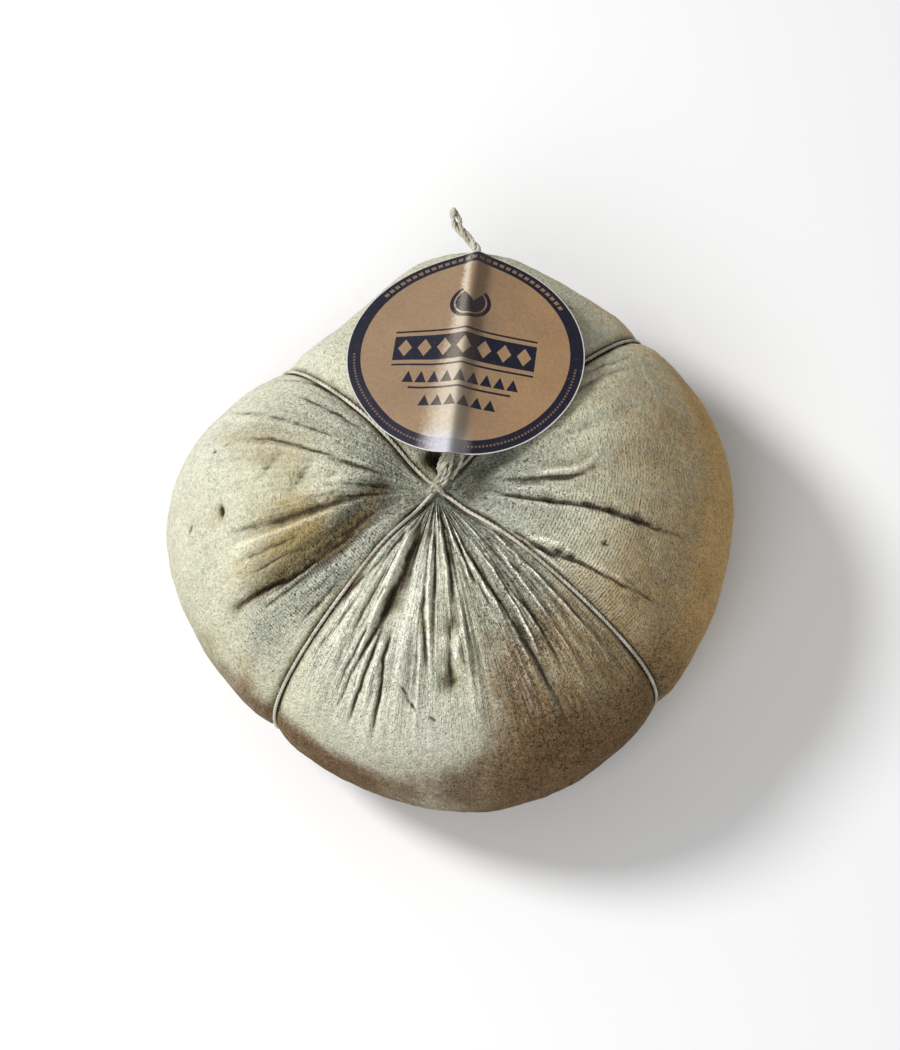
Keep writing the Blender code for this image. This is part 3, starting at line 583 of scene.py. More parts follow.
def build_rind():
    """The rind: a sphere whose points are moved onto the form, with masks for its colours."""
    deselect()
    bpy.ops.mesh.primitive_uv_sphere_add(segments=RIND_SEGMENTS, ring_count=RIND_RINGS)
    rind = bpy.context.object
    rind.name = "rind"
    mesh = rind.data
    places = np.empty(len(mesh.vertices) * 3)
    mesh.vertices.foreach_get("co", places)
    places = places.reshape(-1, 3)
    turn = np.degrees(np.arctan2(places[:, 1], places[:, 0])) % 360.0
    segment = np.rint(turn / 360.0 * RIND_SEGMENTS).astype(int) % RIND_SEGMENTS
    ring = np.rint(np.arccos(np.clip(places[:, 2], -1.0, 1.0)) / math.pi * RIND_RINGS).astype(int)

    share = np.arange(RIND_RINGS + 1) / RIND_RINGS
    face = FACE_SHARE_OF_RINGS
    polar = np.where(share < face, share / face, 1.0 + (share - face) / (1.0 - face))
    polar = polar * math.pi / 2.0
    azimuth = dense_azimuth(np.arange(RIND_SEGMENTS) / RIND_SEGMENTS * 360.0)
    azimuth, polar = np.meshgrid(azimuth, polar)
    relief = rind_relief(azimuth, polar)
    relief[[0, -1]] = relief[[0, -1]].mean(axis=1, keepdims=True)
    point = rind_form(azimuth, polar, relief)
    mesh.vertices.foreach_set("co", point[ring, segment].ravel())

    distance = profile(polar)[0] * rim_radius(azimuth)
    middle = smooth_form(azimuth[:, :1], polar[:, :1])[:, 0]
    steps = np.linalg.norm(np.diff(middle, axis=0), axis=1)
    stations = np.concatenate([[0.0], np.cumsum(steps)])
    close = blurred(relief, 0.0011, distance.mean(axis=1), stations)
    wide = blurred(relief, 0.0045, distance.mean(axis=1), stations)
    turn = np.radians(azimuth)
    face = soft_step((1.75 - polar) / 0.3)
    strokes = [face * painted(kind, azimuth, distance)
               for kind in (TAN_STAINS, MOULD_STAINS, OCHRE_STAINS, BARK_STAINS, PALE_STAINS,
                            KNIT_MARKS, HOLLOW_SHADE_STROKES)]
    honey, bark, russet = side_colours(azimuth, point[..., 2])
    near = soft_step((0.098 - distance) / 0.030) * soft_step(distance / 0.010)
    pleats = face * near * (0.10 + 0.90 * sector(azimuth, 230.0, 322.0, 10.0))
    run = np.broadcast_to(stations[:, None], azimuth.shape)
    fields = {
        "around": np.stack([np.cos(turn), np.sin(turn), run * 10.0], -1),
        "relief": np.stack([(relief - close) * 1000.0, (close - wide) * 1000.0, strokes[5]], -1),
        "stain": np.stack(strokes[:3], -1),
        "side": np.stack([honey, 1.0 - (1.0 - bark) * (1.0 - strokes[3]), russet], -1),
        "cloth": np.stack([strokes[4], pleats, soft_step((polar - 2.5) / 0.3)], -1),
        "dark": np.stack([beside_twine(azimuth, distance), strokes[6], face], -1),
    }
    for name, values in fields.items():
        set_attribute(mesh, name, values[ring, segment])
    deselect()
    rind.select_set(True)
    bpy.ops.object.shade_smooth()
    return rind


# Twine

def respaced(line, spacing, closed=False):
    """Points of a polyline at an even distance, both ends kept."""
    line = np.concatenate([line, line[:1]]) if closed else line
    lengths = np.concatenate([[0.0], np.cumsum(np.linalg.norm(np.diff(line, axis=0), axis=1))])
    count = max(2, round(lengths[-1] / spacing) + 1)
    stations = np.linspace(0.0, lengths[-1], count)
    even = np.stack([np.interp(stations, lengths, line[:, axis]) for axis in range(3)], -1)
    return even[:-1] if closed else even


def rounded(line, times, closed=False):
    """Ease the corners of a polyline."""
    for _ in range(times):
        if closed:
            line = (np.roll(line, 1, axis=0) + 2.0 * line + np.roll(line, -1, axis=0)) / 4.0
        else:
            middle = (line[:-2] + 2.0 * line[1:-1] + line[2:]) / 4.0
            line = np.concatenate([line[:1], middle, line[-1:]])
    return line


def travelling_frames(line, closed):
    """Tangent and two cross directions at each point, carried along without twist."""
    ahead = np.roll(line, -1, axis=0) - np.roll(line, 1, axis=0)
    if not closed:
        ahead[0], ahead[-1] = line[1] - line[0], line[-1] - line[-2]
    tangent = ahead / np.linalg.norm(ahead, axis=1, keepdims=True)
    side = np.cross(tangent[0], (0.3, 0.2, 0.93))
    sides = []
    for direction in tangent:
        side = side - direction * np.dot(side, direction)
        side = side / np.linalg.norm(side)
        sides.append(side)
    sides = np.array(sides)
    if closed:
        first, last = sides[0], sides[-1] - tangent[0] * np.dot(sides[-1], tangent[0])
        slip = math.atan2(np.dot(np.cross(last, first), tangent[0]), np.dot(last, first))
        turn = slip * np.arange(len(line)) / len(line)
        other = np.cross(tangent, sides)
        sides = sides * np.cos(turn)[:, None] + other * np.sin(turn)[:, None]
    return tangent, sides, np.cross(tangent, sides)


def helix(line, radius, pitch, phase, closed=False):
    """Line wound round another one; a closed one has a whole number of turns."""
    _, side, other = travelling_frames(line, closed)
    steps = np.linalg.norm(np.diff(line, axis=0), axis=1)
    run = np.concatenate([[0.0], np.cumsum(steps)])
    turns = run / pitch
    if closed:
        whole = run[-1] + np.linalg.norm(line[0] - line[-1])
        turns = run / whole * round(whole / pitch)
    angle = 2.0 * math.pi * turns + phase
    radius = np.broadcast_to(radius, run.shape)
    return line + (side * np.cos(angle)[:, None] + other * np.sin(angle)[:, None]) * radius[:, None]


class Yarn:
    """Collects swept strands as one mesh, with the run of the fibres in its UV map."""

    def __init__(self):
        self.points, self.faces, self.run = [], [], []

    def sweep(self, line, radius, sides, closed=False, seed=0):
        """Add a round strand; an open one tapers to closed ends."""
        _, side, other = travelling_frames(line, closed)
        count = len(line)
        start = len(self.points)
        uneven = np.random.default_rng(seed).uniform(0.92, 1.08, count)
        thickness = radius * uneven
        if not closed:
            thickness[[0, -1]] *= 0.25
        angles = np.arange(sides) / sides * 2.0 * math.pi
        steps = np.concatenate([[0.0], np.cumsum(np.linalg.norm(np.diff(line, axis=0), axis=1))])
        for place, along, across, thick, run in zip(line, side, other, thickness, steps):
            for angle in angles:
                self.points.append(place + (along * math.cos(angle)
                                            + across * math.sin(angle)) * thick)
                self.run.append((run / 0.01, angle / (2.0 * math.pi)))
        rows = count if closed else count - 1
        for row in range(rows):
            for column in range(sides):
                here = start + row * sides
                ahead = start + (row + 1) % count * sides
                beside = (column + 1) % sides
                self.faces.append((here + column, here + beside, ahead + beside, ahead + column))
        if not closed:
            self.faces.append(tuple(start + column for column in reversed(range(sides))))
            self.faces.append(tuple(start + (count - 1) * sides + column for column in range(sides)))

    def lay(self, line, strands, strand_radius, turn_radius, pitch, closed=False, sides=6, seed=0):
        """Add a laid cord of several strands."""
        for number in range(strands):
            phase = 2.0 * math.pi * number / strands
            self.sweep(helix(line, turn_radius, pitch, phase, closed), strand_radius, sides,
                       closed, seed + number)

    def make(self, name):
        """The collected strands as an object."""
        mesh = bpy.data.meshes.new(name)
        mesh.from_pydata([tuple(point) for point in self.points], [], self.faces)
        layer = mesh.uv_layers.new(name="UVMap")
        corners = np.empty(len(mesh.loops), np.int32)
        mesh.loops.foreach_get("vertex_index", corners)
        layer.data.foreach_set("uv", np.array(self.run)[corners].ravel())
        mesh.shade_smooth()
        thing = bpy.data.objects.new(name, mesh)
        bpy.context.scene.collection.objects.link(thing)
        return thing


def twine_run(azimuth):
    """Centre line of one quarter of the tie, from the gather down to the base crossing."""
    polar = np.concatenate([np.linspace(0.03, 0.30, 5), np.linspace(0.36, math.pi, 200)])
    surface = support_form(azimuth, polar)
    normal = smooth_normal(azimuth, polar)
    line = surface + normal * (TWINE_DIAMETER / 2.0 - TWINE_BITE - TWINE_SINK)
    lowest = TWINE_DIAMETER / 2.0 + TWINE_FIT
    turned_under = np.argmax(line[:, 2] < lowest)
    leave = line[turned_under]
    steps = np.linspace(0.0, 1.0, 40)[1:, None]
    goal = np.array([CROSSING_X, CROSSING_Y, lowest])
    under = leave * (1.0 - steps) + goal * steps
    under[:, 2] = lowest
    return np.concatenate([line[:turned_under], under])


def twine_loops():
    """The two closed routes of the tie. The first passes above the second at the crossing."""
    routes = []
    top = np.array([[GATHER_X, GATHER_Y, support_height(GATHER_X, GATHER_Y) + 0.0008]])
    for index, (outward, backward) in enumerate(TWINE_LOOPS):
        going, coming = twine_run(outward), twine_run(backward)[::-1]
        route = rounded(respaced(np.concatenate([top, going[1:], coming[1:-1]]), 0.001, True), 4, True)
        if index == 0:
            near = np.hypot(route[:, 0] - CROSSING_X, route[:, 1] - CROSSING_Y)
            route[:, 2] += bell(near, 0.006) * (route[:, 2] < 0.01) * TWINE_DIAMETER * 0.8
        routes.append(route)
    return routes


PLY_RADIUS = 0.00034
PLY_TURN = 0.00032
PLY_PITCH = 0.0056
TWINE_SINK = 0.0005


# Strands that rise from the knot to under the label
KNOT_STRANDS = (
    ((-0.0044, -0.0012, 0.0862), (-0.0040, 0.0016, 0.0885), (-0.0024, 0.0042, 0.0902),
     (-0.0008, 0.0074, 0.0915), (0.0014, 0.0120, 0.0925)),
    ((-0.0030, -0.0012, 0.0860), (-0.0012, 0.0010, 0.0880), (0.0000, 0.0042, 0.0898),
     (0.0008, 0.0076, 0.0912), (0.0010, 0.0120, 0.0925)),
    ((-0.0038, -0.0004, 0.0866), (-0.0018, 0.0026, 0.0894), (-0.0016, 0.0050, 0.0908),
     (0.0002, 0.0080, 0.0918), (0.0022, 0.0120, 0.0926)),
    ((0.0004, 0.0012, 0.0868), (0.0020, 0.0036, 0.0880), (0.0036, 0.0062, 0.0890),
     (0.0046, 0.0100, 0.0900)),
)


def build_twine():
    """The tie: two loops of three-ply cotton, the knot in the gather and its short tails."""
    yarn = Yarn()
    for index, route in enumerate(twine_loops()):
        yarn.lay(route, 3, PLY_RADIUS, PLY_TURN, PLY_PITCH, closed=True, seed=10 * index)
    knot = np.array([GATHER_X, GATHER_Y, float(support_height(GATHER_X, GATHER_Y)) + KNOT_LIFT])
    angles = np.linspace(0.0, 2.0 * math.pi, 40, endpoint=False)
    for index, (turn, lean, size) in enumerate(((35.0, 78.0, 0.0026), (-40.0, 102.0, 0.0027))):
        turn, lean = math.radians(turn), math.radians(lean)
        flat = np.array([math.cos(turn), math.sin(turn), 0.0])
        steep = np.array([-math.sin(turn) * math.cos(lean), math.cos(turn) * math.cos(lean),
                          math.sin(lean)])
        ring = knot + size * (np.cos(angles)[:, None] * flat + np.sin(angles)[:, None] * steep)
        yarn.lay(ring, 3, PLY_RADIUS * 0.95, PLY_TURN * 0.9, PLY_PITCH, closed=True, seed=31 + index)
    for number, route in enumerate(KNOT_STRANDS):
        line = respaced(catmull_rom(route), 0.0005)
        yarn.lay(line, 2, 0.00042, 0.00034, 0.0060, seed=41 + 2 * number)
    return yarn.make("twine")


def catmull_rom(points, steps=12):
    """Smooth curve through given points."""
    points = np.asarray(points, float)
    padded = np.concatenate([2 * points[:1] - points[1:2], points, 2 * points[-1:] - points[-2:-1]])
    share = np.linspace(0.0, 1.0, steps, endpoint=False)[:, None]
    line = []
    for before, start, end, after in zip(padded, padded[1:], padded[2:], padded[3:]):
        line.append(0.5 * (2 * start + (end - before) * share
                           + (2 * before - 5 * start + 4 * end - after) * share ** 2
                           + (3 * start - before - 3 * end + after) * share ** 3))
    return np.concatenate(line + [points[-1:]])


def build_hanger():
    """The hanging loop: two laid strands wound loosely round each other, to a tied tip."""
    route = respaced(catmull_rom(HANGER_ROUTE), 0.0007)
    left = np.arange(len(route))[::-1] * 0.0007
    spread = 0.00095 * soft_step(left / 0.0020) + 0.0006 * bell(left - 0.006, 0.0028)
    yarn = Yarn()
    for number in range(3):
        strand = helix(route, spread, 0.024, 2.0 * math.pi * number / 3.0)
        yarn.lay(strand, 3, 0.00046, 0.00040, 0.0064, sides=6, seed=50 + 3 * number)
    hanger = yarn.make("hanging_twine")
    return hanger


# Label

def label_form(across, along):
    """Place of a point of the flat card once it is bent over the hanging loop."""
    turn, start = math.radians(LABEL_TURN), math.radians(LABEL_TILT)
    slope = start + along / LABEL_BEND_RADIUS
    forward = LABEL_BEND_RADIUS * (np.sin(slope) - math.sin(start))
    rise = LABEL_BEND_RADIUS * (np.cos(slope) - math.cos(start))
    fall = np.radians(np.where(across < 0.0, LABEL_LEFT_FALL, LABEL_RIGHT_FALL))
    sideways = across * np.cos(fall)
    drop = (np.hypot(across, LABEL_CREASE_RADIUS) - LABEL_CREASE_RADIUS) * np.sin(fall)
    drop = drop + LABEL_PINCH * (0.5 - np.exp(-np.hypot(across, 0.0008) / 0.0045))
    forward = forward - drop * np.sin(slope)
    rise = rise - drop * np.cos(slope)
    x = LABEL_CENTRE[0] + forward * math.sin(turn) + sideways * math.cos(turn)
    y = LABEL_CENTRE[1] + forward * math.cos(turn) - sideways * math.sin(turn)
    lowest = support_height(x, y) + LABEL_GAP
    return np.stack([x, y, np.maximum(LABEL_CENTRE[2] + rise, lowest)], -1)


CARD_CUTS = (0.0, 0.0003, 0.0007, 0.0012, 0.0020, 0.0032, 0.0055, 0.0080, 0.0110, 0.0145, 0.0180,
             0.0220, 0.0260, 0.0300, 0.0340, 0.0375, 0.0400)


def build_label():
    """Round card: a disc cut into strips, bent over the twine, with a thin wall."""
    deselect()
    bpy.ops.mesh.primitive_circle_add(vertices=160, radius=LABEL_DIAMETER / 2.0, fill_type="NGON")
    card = bpy.context.object
    card.name = "label"
    bpy.ops.object.mode_set(mode="EDIT")
    for cut, side, axis in itertools.product(CARD_CUTS, (-1.0, 1.0), (0, 1)):
        if cut == 0.0 and side > 0.0:
            continue
        normal = (1.0, 0.0, 0.0) if axis == 0 else (0.0, 1.0, 0.0)
        bpy.ops.mesh.select_all(action="SELECT")
        bpy.ops.mesh.bisect(plane_co=[part * side * cut for part in normal], plane_no=normal)
    bpy.ops.object.mode_set(mode="OBJECT")
    mesh = card.data
    flat = np.empty(len(mesh.vertices) * 3)
    mesh.vertices.foreach_get("co", flat)
    flat = flat.reshape(-1, 3)
    layer = mesh.uv_layers.active or mesh.uv_layers.new(name="UVMap")
    corners = np.empty(len(mesh.loops), np.int32)
    mesh.loops.foreach_get("vertex_index", corners)
    layer.data.foreach_set("uv", (flat[corners, :2] / LABEL_DIAMETER + 0.5).ravel())
    mesh.vertices.foreach_set("co", label_form(flat[:, 0], flat[:, 1]).ravel())
    mesh.update()
    wall = card.modifiers.new("wall", "SOLIDIFY")
    wall.thickness = LABEL_THICKNESS
    wall.offset = 0.0
    wall.material_offset_rim = 1
    bpy.ops.object.modifier_apply(modifier="wall")
    bpy.ops.object.shade_smooth_by_angle(angle=math.radians(40.0))
    return card


# Materials

class Socket:
    """Output of a node of a material; arithmetic on it adds Math nodes."""

    def __init__(self, tree, output=None):
        self.tree, self.output = tree, output

    def node(self, kind, settings=None, inputs=None, result=0):
        """Add a node, set it up, feed its sockets and give one of its outputs."""
        made = self.tree.nodes.new("ShaderNode" + kind)
        for name, value in (settings or {}).items():
            if name == "stops":
                ramp = made.color_ramp
                while len(ramp.elements) < len(value):
                    ramp.elements.new(0.5)
                for element, (position, colour) in zip(ramp.elements, value):
                    element.position = position
                    element.color = (*colour, 1.0)
            else:
                setattr(made, name, value)
        for name, value in (inputs or {}).items():
            feed(self.tree, made.inputs[name], value)
        return Socket(self.tree, made.outputs[result])

    def math(self, operation, *values, clamp=False):
        """A Math node on this value and others."""
        inputs = dict(enumerate((self, *values)))
        return self.node("Math", {"operation": operation, "use_clamp": clamp}, inputs)

    def __add__(self, other):
        return self.math("ADD", other)

    __radd__ = __add__

    def __mul__(self, other):
        return self.math("MULTIPLY", other)

    __rmul__ = __mul__

    def __sub__(self, other):
        return self.math("SUBTRACT", other)

    def __rsub__(self, other):
        return self.node("Math", {"operation": "SUBTRACT"}, {0: other, 1: self})

    def __truediv__(self, other):
        return self.math("DIVIDE", other)

    def __lt__(self, other):
        return self.math("LESS_THAN", other)

    def __gt__(self, other):
        return self.math("GREATER_THAN", other)

    def ramp(self, low, high):
        """Smooth rise from 0 at low to 1 at high."""
        settings = {"interpolation_type": "SMOOTHSTEP", "clamp": True}
        return self.node("MapRange", settings, {"Value": self, "From Min": low, "From Max": high})

    def mix(self, other, amount, blend="MIX"):
        """This colour with another one laid over it."""
        settings = {"data_type": "RGBA", "blend_type": blend, "clamp_factor": True}
        return self.node("Mix", settings, {0: amount, 6: self, 7: other}, 2)

    def part(self, axis):
        """One coordinate of a vector."""
        return self.node("SeparateXYZ", None, {0: self}, "XYZ".index(axis))


def feed(tree, socket, value):
    """Link a socket or set it."""
    if isinstance(value, Socket):
        tree.links.new(value.output, socket)
    elif isinstance(value, tuple) and socket.type == "RGBA" and len(value) == 3:
        socket.default_value = (*value, 1.0)
    else:
        socket.default_value = value


class Finish:
    """A Principled material under way."""

    def __init__(self, name):
        self.material = bpy.data.materials.new(name)
        self.material.use_nodes = True
        self.tree = self.material.node_tree
        self.shader = self.tree.nodes["Principled BSDF"]
        self.start = Socket(self.tree)
        self.place = self.start.node("TexCoord", None, None, "Object")

    def attribute(self, name, result="Fac"):
        """A field stored on the mesh."""
        return self.start.node("Attribute", {"attribute_name": name}, None, result)

    def noise(self, scale, detail=2.0, rough=0.5, vector=None, result=0):
        """Noise between 0 and 1; the scale counts grains to the metre."""
        inputs = {"Vector": vector or self.place, "Scale": scale, "Detail": detail,
                  "Roughness": rough}
        return self.start.node("TexNoise", None, inputs, result)

    def cells(self, scale, result=0):
        """Distance to the middle of the nearest grain, or with 1 a random value of the grain."""
        return self.start.node("TexVoronoi", None, {"Vector": self.place, "Scale": scale}, result)

    def set(self, **values):
        """Set or link the shader's sockets, by names with _ for a space."""
        for name, value in values.items():
            feed(self.tree, self.shader.inputs[name.replace("_", " ")], value)

    def bump(self, height, distance, strength=1.0, under=None):
        """A Bump node; several are stacked with under."""
        inputs = {"Height": height, "Distance": distance, "Strength": strength}
        if under:
            inputs["Normal"] = under
        return self.start.node("Bump", None, inputs)


CREAM = (0.60, 0.59, 0.44)
CHALK_AND_HIGHLIGHT = (0.74, 0.75, 0.64)
MOULD = (0.26, 0.275, 0.225)
TAN = (0.40, 0.29, 0.145)
HONEY = (0.62, 0.405, 0.170)
BARK = (0.165, 0.098, 0.045)
OCHRE = (0.36, 0.275, 0.12)
UMBER = (0.085, 0.060, 0.035)
# The next two colours are painted shade: for the hollows and for the deepest creases
HOLLOW_SHADE = (0.055, 0.050, 0.034)
DEEP_CREASE_SHADE = (0.035, 0.032, 0.024)
RUSSET = (0.235, 0.125, 0.050)
UNDERSIDE = (0.46, 0.37, 0.22)


def rind_finish():
    """Mottled, cloth-marked natural rind, with painted shade in its creases and hollows and painted
    highlights on its crests.
    """
    rind = Finish("cheese_rind")
    around = rind.attribute("around", "Vector")
    relief = rind.attribute("relief", "Vector")
    stain = rind.attribute("stain", "Vector")
    side = rind.attribute("side", "Vector")
    cloth = rind.attribute("cloth", "Vector")
    crease, hollow, knit = (relief.part(axis) for axis in "XYZ")
    tan, mould, ochre = (stain.part(axis) for axis in "XYZ")
    honey, bark, russet = (side.part(axis) for axis in "XYZ")
    chalk, pleat, under = (cloth.part(axis) for axis in "XYZ")
    dark = rind.attribute("dark", "Vector")
    twine_shadow, hollow_shade = dark.part("X"), dark.part("Y")

    blot = rind.noise(55.0, 4.0, 0.6) - 0.5
    spot = rind.noise(210.0, 3.0, 0.6) - 0.5
    crumb = rind.noise(620.0, 2.0, 0.6) - 0.5
    grit = rind.noise(1250.0, 2.0, 0.7) - 0.5
    dust = rind.noise(2500.0, 1.0, 0.6) - 0.5
    grain = rind.cells(1350.0)
    shade_of_grain = rind.cells(1350.0, 1).part("X")
    lengthwise = around.node("VectorMath", {"operation": "MULTIPLY"},
                             {0: around, 1: (1.0, 1.0, 0.10)})
    streak = rind.noise(38.0, 3.0, 0.6, lengthwise) - 0.5
    thread = rind.noise(62.0, 1.0, 0.5, lengthwise) - 0.5
    crest = (thread.math("ABSOLUTE") * -11.0 + 1.0).math("MAXIMUM", 0.0) * pleat

    colour = rind.start.node("RGB")
    colour.output.default_value = (*CREAM, 1.0)
    colour = colour.mix(CHALK_AND_HIGHLIGHT, chalk + blot * 0.9 - 0.05)
    colour = colour.mix(OCHRE, (ochre + blot * 0.8 + spot * 0.5 + grit * 0.5).ramp(0.12, 0.95))
    colour = colour.mix(TAN, (tan + blot * 0.7 + spot * 0.6 + grit * 0.5).ramp(0.10, 0.95))
    colour = colour.mix(HONEY, (honey + blot * 0.6 + spot * 0.5 + grit * 0.4).ramp(0.10, 0.90))
    colour = colour.mix(RUSSET, (russet + blot * 0.5 + spot * 0.6 + grit * 0.5).ramp(0.15, 1.0))
    colour = colour.mix(MOULD, (mould + spot * 0.9 + crumb * 0.9 + grit * 0.8).ramp(0.15, 1.05))
    colour = colour.mix(BARK, (bark + blot * 0.7 + spot * 0.5 + crumb * 0.6).ramp(0.08, 1.05))
    colour = colour.mix(UNDERSIDE, under * 0.7)
    # Painted shade: nearly black-green in the deep hollows, the creases and under the label
    colour = colour.mix(HOLLOW_SHADE, (hollow_shade + spot * 0.5 + crumb * 0.6 + grit * 0.6).ramp(0.05, 0.95))
    # Painted shade: broad hollows darkened towards ochre brown
    colour = colour.mix(OCHRE, (hollow * -0.9 + spot * 0.4).ramp(0.15, 1.1) * 0.6)
    # Painted shade: fine creases darkened towards umber, the deepest ones towards near black
    colour = colour.mix(UMBER, (crease * -3.0 + grit * 1.2 + streak * 0.5).ramp(0.15, 1.1) * 0.9)
    colour = colour.mix(DEEP_CREASE_SHADE, (crease * -2.2 + grit - 0.9).ramp(0.0, 1.2))
    # Painted shadow: umber line on the twine's side away from the light
    colour = colour.mix(UMBER, (twine_shadow + grit * 1.6 + blot * 0.8 - 0.2).ramp(0.1, 0.8) * 0.8)
    # Painted highlight: raised crests and the fine pleat threads lightened towards chalk white
    ridge_highlight = (crease * 2.8 + streak * 0.6 - bark * 0.3).ramp(0.25, 1.3)
    colour = colour.mix(CHALK_AND_HIGHLIGHT, ridge_highlight * (pleat * 0.65 + 0.15))
    colour = colour.mix(CHALK_AND_HIGHLIGHT, crest * 0.30)
    # Painted shade: valleys between the fine pleats darkened
    valley = (streak * -2.2 - crease * 1.6 + blot * 1.2 + grit * 1.2 - 0.05).ramp(0.0, 0.9) * pleat
    colour = colour.mix((0.19, 0.150, 0.085), valley * 0.55)
    pock = ((grit + crumb) * -1.0 - 0.13).ramp(0.0, 0.12) * (mould + bark * 0.4 + 0.12)
    colour = colour.mix(UMBER, pock * 0.45)
    rough_share = (bark * 0.7 + tan * 0.25 + mould + hollow_shade).ramp(0.0, 1.0) * 0.62 + 0.38
    tone = grit * 2.0 + crumb * 1.7 + dust * 1.3 + spot * 1.0 + streak * 0.5
    tone = tone + (0.46 - grain) * 0.7 + (shade_of_grain - 0.5) * 0.50
    tone = tone * rough_share + 1.0
    # Painted light and shade: colour brighter on crests, darker in creases and hollows
    relief_shading = (crease * 0.55).math("MAXIMUM", -0.5).math("MINIMUM", 0.35)
    relief_shading = relief_shading + (hollow * 0.22).math("MAXIMUM", -0.35).math("MINIMUM", 0.2)
    tone = (tone * (relief_shading + 1.0)).math("MAXIMUM", 0.15)
    run = around.part("Z")
    turn = around.part("Y").math("ARCTAN2", around.part("X"))
    rows = (run * (2.0 * math.pi / 0.0115)).math("SINE")
    ribs = (turn * 310.0 + run * 20.0).math("SINE")
    tone = tone + rows * (knit * 0.26 + under * 0.10)
    shade = tone.node("CombineXYZ", None, {0: tone, 1: tone, 2: tone})
    colour = colour.node("VectorMath", {"operation": "MULTIPLY"}, {0: colour, 1: shade})
    rind.set(Base_Color=colour, Roughness=0.88, Specular_IOR_Level=0.12)

    marks = rows * (knit * 0.9 + under + 0.10) + ribs * (knit * 0.25 + under * 0.6 + 0.10)
    soft = rind.bump(marks + crest * 2.6, 0.00012)
    coarse = rind.bump(crumb, 0.0009, under=soft)
    fine = rind.bump(grit + dust * 0.5 - grain * 0.35, 0.0005, under=coarse)
    rind.set(Normal=fine)
    return rind.material


def cotton_finish():
    """Undyed cotton with fine fibres along its plies."""
    cotton = Finish("cotton")
    run = cotton.start.node("TexCoord", None, None, "UV")
    stretched = run.node("VectorMath", {"operation": "MULTIPLY"}, {0: run, 1: (1.0, 6.0, 1.0)})
    fibre = cotton.noise(9.0, 3.0, 0.6, stretched)
    dirt = cotton.noise(120.0, 3.0, 0.6)
    colour = fibre.node("ValToRGB", {"stops": ((0.25, (0.46, 0.43, 0.34)), (0.55, (0.70, 0.68, 0.59)),
                                               (0.8, (0.86, 0.84, 0.77)))}, {"Fac": fibre})
    colour = colour.mix((0.33, 0.29, 0.20), (dirt - 0.32).ramp(0.05, 0.35) * 0.7)
    cotton.set(Base_Color=colour, Roughness=0.9, Specular_IOR_Level=0.2)
    cotton.set(Normal=cotton.bump(fibre, 0.00012))
    return cotton.material


KRAFT = (0.27, 0.178, 0.105)
NAVY = (0.010, 0.010, 0.022)
PAPER = (0.55, 0.54, 0.51)
RING_OUTER, RING_INNER = 41.6, 36.9


def card_print(across, along, radius, angle):
    """Share of ink: a ring with dashes, a cut wheel, a band of lozenges and rows of triangles."""
    def slab(along_at, width, height):
        beside = across.math("ABSOLUTE") < width / 2.0
        return beside * ((along - along_at).math("ABSOLUTE") < height / 2.0)

    def cells(pitch, shift):
        return ((across / pitch + shift).math("FRACT") - 0.5).math("ABSOLUTE") * pitch

    def lozenges(along_at, pitch, width, height, reach):
        edge = cells(pitch, 0.5) * (2.0 / width) + (along - along_at).math("ABSOLUTE") * (2.0 / height)
        return (edge < 1.0) * (across.math("ABSOLUTE") < reach)

    def triangles(foot, pitch, height, reach, shift):
        climb = (along - foot) / height
        inside = (cells(pitch, shift) * (2.2 / pitch) + climb < 1.0) * (climb > 0.0)
        return inside * (across.math("ABSOLUTE") < reach)

    ring = (radius < RING_OUTER) * (radius > RING_INNER)
    above = (angle - 90.0).math("ABSOLUTE") < 54.0
    middle = (radius - 39.2).math("ABSOLUTE")
    dashes = above * ((angle / 3.6).math("FRACT") < 0.66) * (middle < 0.75)
    below = ((angle + 90.0).math("ABSOLUTE") - 47.0).math("ABSOLUTE") < 40.0
    dots = below * ((angle / 1.9).math("FRACT") < 0.55) * (middle < 0.36)
    ink = ring * (1.0 - dashes * 0.7 - dots * 0.5)
    band = slab(-1.0, 50.0, 10.5) * (1.0 - lozenges(-1.0, 7.0, 5.0, 7.4, 24.5))
    rules = slab(6.2, 50.0, 0.8) + slab(-8.2, 50.0, 0.8) + slab(-17.4, 36.0, 0.8)
    rows = triangles(-15.4, 4.6, 4.6, 20.7, 0.5) + triangles(-24.4, 4.6, 4.2, 13.8, 0.0)
    from_wheel = across * across + (along - 18.0) * (along - 18.0)
    wedge = ((along - 18.0) > 0.0) * ((along - 18.0) > (across - 1.0).math("ABSOLUTE") * 1.4)
    rim = (from_wheel > 27.0) * (from_wheel < 34.0)
    wheel = (from_wheel < 52.0) * (1.0 - wedge) * (1.0 - rim)
    return (ink + band + rules + rows + wheel).math("MINIMUM", 1.0)


